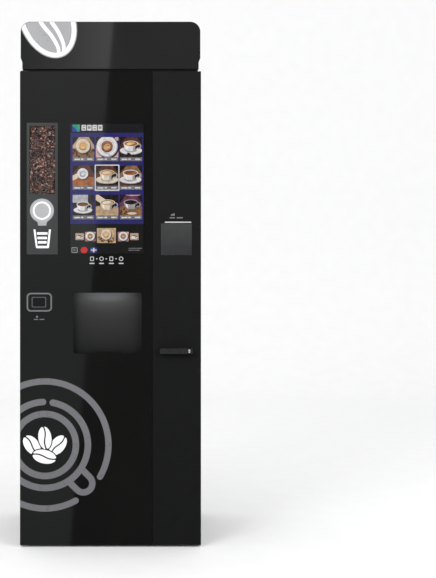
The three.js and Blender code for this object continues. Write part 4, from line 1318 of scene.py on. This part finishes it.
def tray_under_mixers():
    """The bar, light and wedge along the front of the mixers' shelf, and the brew spout's arm."""
    low, high = mm_box("mixer_shelf")
    bar = [(-116, 1094), (-116, 1072), (low[0] + 34, 1074), (192, 1086), (192, 1095)]
    light = rounded(-66, high[0] - 1, low[2] - 3, low[2] + 3.5, 2, 3)
    wedge = [(-60, 1070), (high[0] - 2, 1074), (high[0] - 2, 1082), (20, 1078)]
    plates(low[1], [("tray_bar", bar, 6, 1.2, "dark_bracket", 1.0),
                    ("shelf_light", light, 1, 0.2, "strip_light", 0),
                    ("shelf_wedge", wedge, 0.9, 0.2, "white_panel", 0)])
    arm = [(-158, 1064), (-158, 1040), (-118, 1036), (-88, 1056), (-78, 1064)]
    plate("brew_spout_arm", arm, -150, -122, "black_plastic", bevel=2)
    hose = [(-150, -110, 1052), (-120, -140, 1040), (-86, -150, 1034), (-66, -150, 1012)]
    tube("brew_hose", hose, 6, "rubber")


def coffee_side():
    """Detail on the hopper and the grinder, and the grinder's motor, at the left."""
    hopper = mm_box("bean_hopper")[0][1]
    cradle = [(-168, 1372), (-128, 1402), (-128, 1430), (-225, 1372.5)]
    plate("hopper_cradle", cradle, -122, -40, "black_plastic", bevel=1)
    block("hopper_lamp", (-262, -240), (hopper - 3, hopper - 0.3), (1392, 1402), "strip_light")
    plate("hopper_shutter", rounded(-276, -229, 1374, 1386, 2, 3), hopper - 4, hopper - 0.3, "black_plastic",
          bevel=0.8)
    front = mm_box("grinder")[0][1]
    face = [rounded(-284, -171, 1276, 1367, 8, 5), rounded(-250, -234, 1284, 1350, 2, 3)]
    slot_frame = [rounded(-253, -231, 1281, 1353, 3, 4), rounded(-249.5, -234.5, 1284.5, 1349.5, 2, 3)]
    # the grinder's face glows a little: painted light
    plates(front, [("grinder_face", face, 2.4, 0.3, "grinder_white", 0.6),
                   ("grinder_slot_back", rounded(-251, -233, 1283, 1351, 2, 3), 0.28, 0.08, "window_dark", 0),
                   ("grinder_slot_frame", slot_frame, 3.4, 2.5, "dark_bracket", 0),
                   ("grinder_cap", rounded(-259, -225, 1352, 1366, 3, 4), 7, 3.5, "black_plastic", 1)])
    block("grinder_bracket", (-214, -178), (front - 8, front - 2.6), (1350, 1378), "black_plastic", bevel=2)
    block("grinder_bracket_arm", (-190, -150), (front - 2, front + 40), (1373, 1392), "dark_bracket", bevel=2)
    bolt_row("grinder_screw", [(-278, 1283), (-177, 1283), (-278, 1350), (-177, 1342)], front - 2.5, 3)
    block("grinder_motor", (-164, -124), (-70, 40), (1284, 1372), "black_plastic", bevel=4)
    fan = [(0, 8), (14, 8), (16, 6), (16, 0), (0, 0)]
    turned("grinder_motor_fan", fan, (-144, -70.3, 1330), "dark_bracket", count=28)
    cable = [(-150, -60, 1372), (-138, -64, 1400), (-128, -40, 1412), (-120, 40, 1400)]
    tube("grinder_cable", cable, 4, "rubber")


def brewer_details():
    """The brewer's stepped cover, its screws, and the drive beside it. Painted light lies on its front: a lit
    top band, a shaded band, a shaded side face and a glow on the cover.
    """
    front = mm_box("brewer")[0][1]
    # painted light: the bright band stands for the lit top of the lower box, the shade band and the side face
    # are painted shade
    panels = [("cover", [(-290, 1124), (-178, 1130), (-180, 1240), (-286, 1240)], 4, "brewer_pale"),
              ("shade_band", [(-294, 1100), (-168, 1104), (-177, 1128), (-292, 1122)], 2.5, "brewer_mid"),
              ("top_band_lit", [(-292, 1053), (-170, 1051), (-164, 1080), (-174, 1098), (-290, 1096)], 6,
               "brewer_bright"),
              ("face", [(-292, 992), (-197, 992), (-191, 1049), (-292, 1051)], 4, "pale_plastic"),
              ("face_side", [(-196, 992), (-172, 992), (-168, 1049), (-190, 1049)], 3, "brewer_mid"),
              ("drawer", [(-288, 968), (-180, 968), (-174, 990), (-290, 990)], 3, "grey_plastic")]
    for part, outline, proud, material in panels:
        plate(f"brewer_{part}", outline, front - proud, front - 0.4, material, bevel=1.6)
    # the tab takes the brighter copy of the grey: painted light on the brewer's top
    block("brewer_tab", (-268, -222), (front + 4, front + 10), (1240, 1262), "brewer_bright", bevel=1.5)
    bolt_row("brewer_screw", [(-284, 1232), (-186, 1232), (-240, 974)], front - 4.2, 3)
    block("brewer_hinge_plate", (-177, -148), (-66, -60.5), (1076, 1262), "dark_bracket", bevel=1)
    drive_bolts = [(-168, 1100), (-158, 1140), (-166, 1190), (-156, 1236), (-170, 1250)]
    bolt_row("brewer_drive_bolt", drive_bolts, -66.2, 4.5)
    linkage = [(-170, -72, 1096), (-152, -76, 1120), (-162, -76, 1160), (-150, -72, 1200)]
    tube("brewer_linkage", linkage, 4, "silver")
    turned("brewer_wheel", [(0, 7), (15, 7), (17, 5), (17, 0), (0, 0)], (-160, -66.3, 1164), "black_plastic")
    hose = [(-136, -30, 1268), (-134, -40, 1284), (-120, -52, 1292), (-112, -56, 1270)]
    tube("brewer_water_hose", hose, 4, "clear_hose")


def bin_and_panels():
    """The waste bin's lip, pale for a painted highlight along its rim, the service panel with its painted
    glow and a white strip of painted highlight down its right edge, and the fittings of the control box and
    power module.
    """
    low, high = mm_box("waste_bin")
    screw("bin_screw", -236, low[1] - 0.1, 937, "waste_bin", 3)
    # painted highlight: a pale strip on the bin's rim lip
    lip = rounded(low[0] + 2, high[0] - 2, high[2] - 3.5, high[2] - 0.5, 1.2, 3)
    plates(low[1], [("bin_rim_highlight", lip, 1.5, 0.2, "pale_plastic", 0.4)], "waste_bin")
    tall = (737, 1053)
    # the service panel glows a little, painted light, and the white strip down its right edge is a painted
    # highlight
    block("service_panel", (-183, -97), (84, 98), tall, "panel_bright", bevel=1.5)
    block("service_panel_edge_highlight", (-96.5, -92), (80, 98), tall, "white_panel", bevel=1)
    front = mm_box("control_box")[0][1]
    plates(front, [("control_seam_top", rounded(19, 128, 868.5, 870, 0.6, 2), -0.5, -1.9, "dark_print", 0),
                   ("control_seam_side", rounded(17.4, 19, 753, 869, 0.6, 2), -0.5, -1.9, "dark_print", 0)])
    bolt_row("control_screw", [(101, 892), (-60, 754), (-60, 896), (131, 896)], front + 1.7, 2.6)
    bolt_row("control_door_screw", [(28, 760), (120, 860)], front - 0.1, 2.2)
    block("power_module", (171, 281), (24, 98), (958, 1053), "module_grey", bevel=2)
    block("power_module_lip", (178, 274), (20, 24.3), (1030, 1040), "pale_plastic", bevel=1)
    for number, x in enumerate((184, 268), 1):
        block(f"power_module_hook_{number}", (x - 4, x + 4), (16, 24.3), (1018, 1046), "grey_dark")
    bolt_row("power_module_screw", [(180, 966), (272, 966)], 23.8, 2.6)


def lower_compartment():
    """Brackets, pins and a hose under the shelf, and bosses and stops on the lower walls."""
    below = mm_box("lower_shelf")[0][2] - 0.3
    steel = {"slot": "grey_steel", "bevel": 1.5}
    block("shelf_bracket", (-300, -246), (-170, -60), (632, below), "module_grey", **steel)
    block("shelf_bracket_face", (-292, -258), (-174, -170.2), (640, below - 6), "pale_plastic", bevel=1)
    block("shelf_channel", (-245, -120), (-150, -70), (656, below), "grey_dark", **steel)
    for number, (x, foot) in enumerate(((-250, 622), (-174, 620)), 1):
        pin = [(0, foot), (4, foot), (6, foot + 3), (6, below - 20), (0, below - 20)]
        turned(f"shelf_pin_{number}", pin, (x, -158, 0), "silver", axis="Z", count=18)
    drain = [(-240, -150, 650), (-214, -166, 640), (-186, -168, 650), (-150, -160, 660), (-118, -120, 672)]
    tube("drain_hose", drain, 6, "grey_hose")
    valve_details()
    wall = mm_box("rear_panel")[0][1]
    boss = [(0, 3), (4, 3), (9, 2), (10, 0), (0, 0)]
    for number, (x, z) in enumerate(((62, 569), (62, 329), (161, 331)), 1):
        turned(f"wall_boss_{number}", boss, (x, wall - 0.2, z), "wall_mark", count=20)
    block("door_switch", (290, 302), (-150, -120), (516, 534), "white_plastic", bevel=1.5)
    block("door_switch_base", (302, 327), (-156, -114), (508, 542), "dark_bracket")
    block("can_stop", (-322, -300), (-196, -186), (119, 136), "white_steel", bevel=1)


def valve_details():
    """Recesses, tap, window, cover plate, screws and pipe fittings of the valve box."""
    front = mm_box("valve_box")[0][1]
    recesses = [rounded(x0, x1, 624.4, 651.6, 2, 3) for x0, x1 in ((168.4, 205.6), (222.4, 263.6))]
    lever = [(166, 640), (206, 646), (206, 652), (166, 646)]
    # the valve box's grey glows a little: painted light
    plates(front, [("valve_recess_1", recesses[0], -0.4, -3, "valve_grey", 0),
                   ("valve_recess_2", recesses[1], -0.4, -3, "valve_grey", 0),
                   ("valve_tap", rounded(177, 196, 624, 650, 4, 4), 5, -0.2, "black_plastic", 1.5),
                   ("valve_tap_lever", lever, 8, 5.2, "black_plastic", 1),
                   ("valve_window", rounded(233, 259, 653, 670, 2, 3), 0.8, 0.1, "window_dark", 0)])
    plate("valve_window_key", rounded(243, 250, 656, 667, 2, 3), front - 2.4, front - 0.9, "dark_bracket",
          slot="black_plastic", bevel=0.5)
    plate("valve_plate", rounded(161, 234, 512, 600, 3, 4), front - 1.6, front - 0.2, "valve_grey", bevel=0.6)
    places = [(156, 610), (276, 610), (156, 672), (276, 672), (166, 517), (229, 517), (166, 595), (229, 595)]
    bolt_row("valve_screw", places, front - 0.1, 2.4)
    tube("fitting_arm_up", [(124, 60, 541), (112, 56, 548), (100, 50, 560)], 4.5, "silver")
    tube("fitting_arm_down", [(124, 60, 541), (112, 56, 534), (100, 50, 524)], 4.5, "silver")
    tube("fitting_right", [(238, 60, 536), (252, 56, 536), (262, 50, 532), (264, 48, 518)], 5, "silver")
    tube("fitting_top_right", [(240, 60, 606), (250, 50, 598), (258, 46, 592)], 5, "silver")
    nut = [(0, 478), (8, 478), (13, 481), (13, 487), (0, 487)]
    turned("valve_nut", nut, (197, 60, 0), "silver", axis="Z", count=6, smooth=False)


def water_can():
    """The moulded can: soft edges all round, a stepped shoulder, a raised frame and level marks."""
    (x0, y0, z0), (x1, y1, _) = mm_box("water_can")
    shoulder = 508
    plan = smooth_loop([(x0 + 14, y0), (-150, y0), (-122, y0 + 9), (-104, y0 + 38), (x1, y0 + 92),
                        (x1, y1 - 22), (x1 - 22, y1), (x0 + 22, y1), (x0, y1 - 22), (x0, y0 + 14)])
    middle_x, middle_y = (x0 + x1) / 2, (y0 + y1) / 2
    half_width, half_depth = 107, 145
    steps = [(z0, 16), (z0 + 3, 8), (z0 + 9, 3), (z0 + 18, 0.6)]
    steps += [(shoulder - down, inward) for down, inward in ((36, 0.6), (26, 2.5), (23, 6), (14, 6.5), (5, 9),
                                                             (1.5, 13), (0, 18))]
    bm = bmesh.new()
    rings = []
    for z, inward in steps:
        ring = []
        for x, y in plan:
            place = (x - inward * (x - middle_x) / half_width, y - inward * (y - middle_y) / half_depth, z)
            ring.append(bm.verts.new(Vector(place) * MM))
        rings.append(ring)
    join_rings(bm, rings)
    bm.faces.new(rings[0][::-1])
    bm.faces.new(rings[-1])
    # the can's finish glows: painted light
    can = finish_mesh("water_can", bm, "can_white", "water_can", smooth=True)
    can.data.set_sharp_from_angle(angle=math.radians(50))
    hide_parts("water_can")
    cap = [(0, 516.8), (20, 516.8), (23, 515), (24, 508.2), (0, 508.2)]
    turned("can_cap", cap, (middle_x, 90, 0), "white_cap", "water_can", axis="Z", count=40)
    block("can_neck", (middle_x - 52, middle_x + 30), (y0 + 34, y0 + 92), (508.2, 515.5), "can_white",
          "water_can", bevel=4)
    rib = [rounded(x0 + 18, -152, 132, 452, 20, 6), rounded(x0 + 22, -156, 136, 448, 17, 6)]
    plates(y0, [("can_rib", rib, 1, 0.1, "can_white", 0.4)], "water_can")
    for number, z in enumerate((190, 245, 300, 355, 410), 1):
        mark = rounded(-176, -163, z, z + 1.4, 0.6, 2)
        plate(f"can_level_mark_{number}", mark, y0 - 0.5, y0 - 0.1, "label_pale", "water_can")


def vent_grid():
    """The white plate in front of the rear vent: columns of upright slots in staggered rows."""
    low, high = mm_box("vent_grille")
    wide, tall, column_pitch, row_pitch, rim = 6, 12, 10.4, 16.4, 3
    loops = [rounded(low[0], high[0], low[2], high[2], 1.5, 2)]
    column, x = 0, low[0] + 5
    while x + wide < high[0] - rim:
        z = low[2] + (6 if column % 2 else 14)
        while z + tall < high[2] - rim:
            loops.append(box_outline(x, x + wide, z, z + tall))
            z += row_pitch
        x += column_pitch
        column += 1
    # the plate's glow is painted light, lifting it out of the shade at the back
    vent = plate("vent_grille", loops, low[1], low[1] + 3, "vent_white")
    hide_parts("vent_grille")
    corners = [(x, z) for z in (low[2] + 4, high[2] - 4) for x in (low[0] + 4, high[0] - 4)]
    for number, (x, z) in enumerate(corners, 1):
        block(f"vent_foot_{number}", (x - 2, x + 2), (low[1] + 3, high[1] - 0.5), (z - 2, z + 2),
              "white_plastic", bevel=0.3)


def sill_details():
    """Screws, a thin light line and a catch on the front sill, whose upper part leans back."""
    low, high = mm_box("front_sill")
    front = low[1]
    lean = (high[2] - 82) / 12
    for number, x in enumerate((-268, -5, 259, 281), 1):
        screw(f"sill_screw_{number}", x, front - 0.1, 77, radius=3.6)
    for number, x in enumerate((-153, 143), 1):
        screw(f"sill_upper_screw_{number}", x, front + (104 - 82) / lean - 1.6, 104, radius=4.2)
    block("sill_light_line", (144, 194), (front + 1.2, front + 2.6), (91, 92.6), "panel_grey", bevel=0.4)
    block("sill_catch", (-304, -280), (front - 3, front - 0.3), (72, 78), "grey_steel")


def behind(face, rows, body="door"):
    """Flat pieces on a rear face. A row: name, outline, how far behind it starts and ends, look, edge."""
    for name, outline, start, end, material, bevel in rows:
        plate(name, outline, face + start, face + end, material, body, bevel=bevel)


def door_inside():
    """The back of the door: housings, cable duct, chute guard, lock plate and a plain label."""
    back = mm_box("door_tray")[1][1] + 0.2
    rows = [("screen_housing", rounded(-160, 134, 1066, 1568, 10, 6), 0, 6.5, "grey_steel", 1.5)]
    rows += [(f"screen_vent_{number}", rounded(-70, 44, z, z + 6, 3, 4), 6.6, 7.0, "window_dark", 0)
             for number, z in enumerate(range(1180, 1324, 16), 1)]
    rows.append(("screen_service_plate", rounded(-120, 94, 1380, 1530, 5, 5), 6.6, 8, "pale_plastic", 0.6))
    behind(back, rows)
    rear_bolts("screen_bolt", [(x, z) for z in (1076, 1558, 1317) for x in (-150, 124)], back + 6.6)
    behind(back, [("bean_box_back", rounded(-304, -180, 1070, 1566, 8, 6), 0, 5, "black_plastic", 1.2)])
    rear_bolts("bean_box_bolt", [(x, z) for z in (1080, 1556) for x in (-297, -187)], back + 5.1)
    guard = [rounded(-152, 131, 695, 950, 10, 6), rounded(-137.5, 116.5, 709.5, 935.5, 4, 5)]
    behind(back, [("cable_duct", rounded(142, 160, 760, 1600, 4, 5), 0, 6, "grey_dark", 1),
                  ("cable_duct_cross", rounded(-300, 160, 1010, 1028, 4, 5), 0, 5.5, "grey_dark", 1),
                  ("chute_guard", guard, 0, 5, "black_plastic", 1)])
    rear_bolts("chute_guard_bolt", [(x, z) for z in (702, 943) for x in (-145, 124)], back + 5.1)
    behind(back, [("pocket_back", rounded(176, 300, 1060, 1200, 6, 5), 0, 5, "black_plastic", 1),
                  ("lock_plate", rounded(236, 304, 676, 766, 5, 5), 0, 3, "silver", 0.6)])
    rear_bolts("lock_bolt", [(x, z) for z in (684, 758) for x in (243, 297)], back + 3.1)
    rows = [(f"door_stiffener_{number}", rounded(x - 6, x + 6, 60, 640, 4, 4), 0, 4, "black_steel", 1)
            for number, x in enumerate((-296, 286), 1)]
    rows.append(("door_label", rounded(186, 276, 1330, 1430, 3, 4), 0, 0.5, "white_plastic", 0))
    for number in range(6):
        z = 1412 - number * 14
        line = rounded(194, 268 - (number % 3) * 12, z, z + 3, 1, 2)
        rows.append((f"door_label_line_{number + 1}", line, 0.55, 0.7, "seam_grey", 0))
    behind(back, rows)


def rear_and_sides():
    """Fixings, a plain label, the socket's surround, louvre hoods and water inlets behind."""
    low, high = mm_box("rear_panel")
    wall = high[1] + 0.1
    places = [(x, z) for x in (low[0] + 34, 0, high[0] - 34) for z in (140, 560, 980, 1480, 1722)]
    rear_bolts("rear_bolt", places, wall, "cabinet")
    (x0, _, z0), (x1, _, z1) = mm_box("power_inlet")
    surround = [rounded(x0 - 12, x1 + 12, z0 - 10, z1 + 10, 5, 5),
                rounded(x0 - 0.6, x1 + 0.6, z0 - 0.6, z1 + 0.6, 2, 4)]
    behind(wall, [("inlet_surround", surround, 0, 1.4, "black_plastic", 0.4),
                  ("rear_label", rounded(60, 150, 150, 205, 3, 4), 0, 0.4, "silver", 0)], "cabinet")
    for number in range(4):
        z = 192 - number * 11
        line = rounded(68, 142 - (number % 2) * 18, z, z + 3, 1, 2)
        plate(f"rear_label_line_{number + 1}", line, wall + 0.45, wall + 0.6, "dark_print", slot="silver")
    for row in range(7):
        z = 1180 + row * 34
        for number, (x0, x1) in enumerate(((-150, -10), (10, 150)), 1):
            hood = rounded(x0 - 3, x1 + 3, z + 8.4, z + 12.5, 2, 3)
            name = f"louvre_hood_{row + 1}_{number}"
            plate(name, hood, wall - SUNK, wall + 1.9, "black_steel", bevel=0.7)
    plate("water_inlet_plate", rounded(-284, -214, 150, 200, 4, 4), wall, wall + 0.9, "grey_steel", bevel=0.3)
    ring = [(6, 0), (11, 0), (11, -1.1), (6, -1.1), (6, 0)]
    for number, x in enumerate((-266, -232), 1):
        turned(f"water_inlet_{number}", ring, (x, wall + 1.0, 175), "silver", count=28)


# ---- stage, camera and light --------------------------------------------------------
def stage_piece(name, bm, material):
    """Scenery that is not part of the machine."""
    mesh = bpy.data.meshes.new(name)
    bm.to_mesh(mesh)
    bm.free()
    thing = bpy.data.objects.new(name, mesh)
    scene.collection.objects.link(thing)
    mesh.materials.append(material)
    return thing


def only_reflected(thing):
    for ray in ("camera", "diffuse", "transmission", "shadow", "volume_scatter"):
        setattr(thing, f"visible_{ray}", False)


def floor_and_backdrop():
    """A paper floor that bends up into the backdrop."""
    bm = bmesh.new()
    front, depth, width, rise, bend = -9.0, 6.0, 14.0, 7.0, 1.6
    curve = [(depth - bend + bend * math.sin(a), bend - bend * math.cos(a))
             for a in [math.pi / 2 * i / 16 for i in range(17)]]
    profile = [(front, 0.0), *curve, (depth, rise)]
    join_rings(bm, [[bm.verts.new((x, y, z)) for x in (-width, width)] for y, z in profile], closed=False)
    paper = surface("studio_paper", (0.93, 0.93, 0.93), 0.9, mottle=0.01, grain=0.0)
    floor = stage_piece("studio_floor", bm, paper)
    floor.data.polygons.foreach_set("use_smooth", [True] * len(floor.data.polygons))
    floor.visible_glossy = False


def reflection_room():
    """What glossy surfaces see: a pale room with a dark wall behind the camera."""
    radius = 20.0
    bm = bmesh.new()
    bmesh.ops.create_icosphere(bm, subdivisions=5, radius=radius)
    bmesh.ops.reverse_faces(bm, faces=bm.faces)
    n = Nodes("reflection_room")
    towards_front = n.math("DIVIDE", n.math("MULTIPLY", n.axis("Y"), -1.0), radius)
    colour = n.ramp(towards_front, [(0.0, (0.75, 0.76, 0.78)), (0.55, (0.55, 0.55, 0.56)),
                                    (0.86, (0.05, 0.05, 0.05)), (0.92, (0.02, 0.02, 0.02))])
    only_reflected(stage_piece("reflection_room", bm, n.emission_only(colour)))


CAMERA_DISTANCE = 3.6
CAMERA_HEIGHT = 0.948
VIEW_HEIGHT = 2.1236


def slanted_card():
    """A soft grey card behind the camera whose slanted edge shows as the sheen on the glass."""
    away = 4.4
    grow = (CAMERA_DISTANCE + away) / CAMERA_DISTANCE  # how much larger the card is than its mirror image
    y = FACE * MM - away
    left, low, top = -700.0, -300.0, 2600.0
    hood_foot = 1.755  # metres; above it the sheen lies on the hood
    edge_x, edge_z, drift, drop = -5.0, 1745, 66.0, 801.0

    def edge(z):
        """Where the sheen ends on the glass, at a height on it; it drifts left on the way down."""
        return edge_x - drift * (edge_z - z) / drop

    bm = bmesh.new()
    columns = []
    for share in (0.0, 0.25, 0.5, 0.75, 1.0):
        column = []
        for z in (low, top):
            x = edge(z) * share + left * (1 - share)
            column.append(bm.verts.new((x * MM * grow, y, CAMERA_HEIGHT + (z * MM - CAMERA_HEIGHT) * grow)))
        columns.append(column)
    join_rings(bm, columns, closed=False)
    n = Nodes("sheen_card")
    height = n.math("DIVIDE", n.math("SUBTRACT", n.axis("Z"), CAMERA_HEIGHT), 2.0)
    panel = n.ramp(n.math("ADD", height, 0.1),
                   [(0.0, (0.25, 0.28, 0.275)), (0.5, (0.34, 0.345, 0.35)), (1.0, (0.44, 0.445, 0.455))])
    across = n.math("DIVIDE", n.math("ADD", n.axis("X"), 0.75), 0.75)
    hood = n.ramp(across, [(0.0, (0.05, 0.06, 0.06)), (0.45, (0.3, 0.3, 0.3)), (1.0, (1.0, 1.0, 1.03))])
    on_hood = n.math("GREATER_THAN", n.axis("Z"), CAMERA_HEIGHT + (hood_foot - CAMERA_HEIGHT) * grow)
    only_reflected(stage_piece("sheen_card", bm, n.emission_only(n.mix(on_hood, panel, hood))))


def soft_light(name, place, aim, size, power):
    light = bpy.data.lights.new(name, "AREA")
    light.shape = "RECTANGLE"
    light.size, light.size_y = size
    light.energy = power
    thing = bpy.data.objects.new(name, light)
    scene.collection.objects.link(thing)
    thing.location = place
    thing.rotation_euler = (Vector(aim) - Vector(place)).to_track_quat("-Z", "Y").to_euler()
    thing.visible_camera = False


def camera():
    """Level, square to the front, and shifted sideways as the photograph is."""
    data = bpy.data.cameras.new("camera")
    thing = bpy.data.objects.new("camera", data)
    scene.collection.objects.link(thing)
    data.sensor_width = 36.0
    data.lens = data.sensor_width * CAMERA_DISTANCE / VIEW_HEIGHT
    data.shift_x = 0.186
    thing.location = (0.0, FACE * MM - CAMERA_DISTANCE, CAMERA_HEIGHT)
    thing.rotation_euler = (math.radians(90), 0, 0)
    data.clip_end = 60.0
    scene.camera = thing


def world():
    scene.world = bpy.data.worlds.new("studio")
    scene.world.use_nodes = True
    background = scene.world.node_tree.nodes["Background"]
    background.inputs["Color"].default_value = (1.0, 1.0, 1.0, 1.0)
    background.inputs["Strength"].default_value = 1.0


dress_nodes()
for build in (front_rings, bean_cluster, scanner, step_icons, pocket_marks, hood_bean, touch_screen_picture,
              bean_display, ceiling_fittings, bulkhead_details, canister_details, funnel_details,
              mixer_details, tray_under_mixers, coffee_side, brewer_details, bin_and_panels,
              lower_compartment, water_can, vent_grid, sill_details, door_inside, rear_and_sides):
    build()

scene.view_settings.view_transform = "Standard"
world()
floor_and_backdrop()
reflection_room()
slanted_card()
camera()
soft_light("key", (-2.2, -3.4, 3.2), (0, 0, 1.0), (1.6, 1.6), 60)
soft_light("fill", (2.6, -2.6, 2.0), (0, 0, 0.9), (1.4, 2.0), 25)
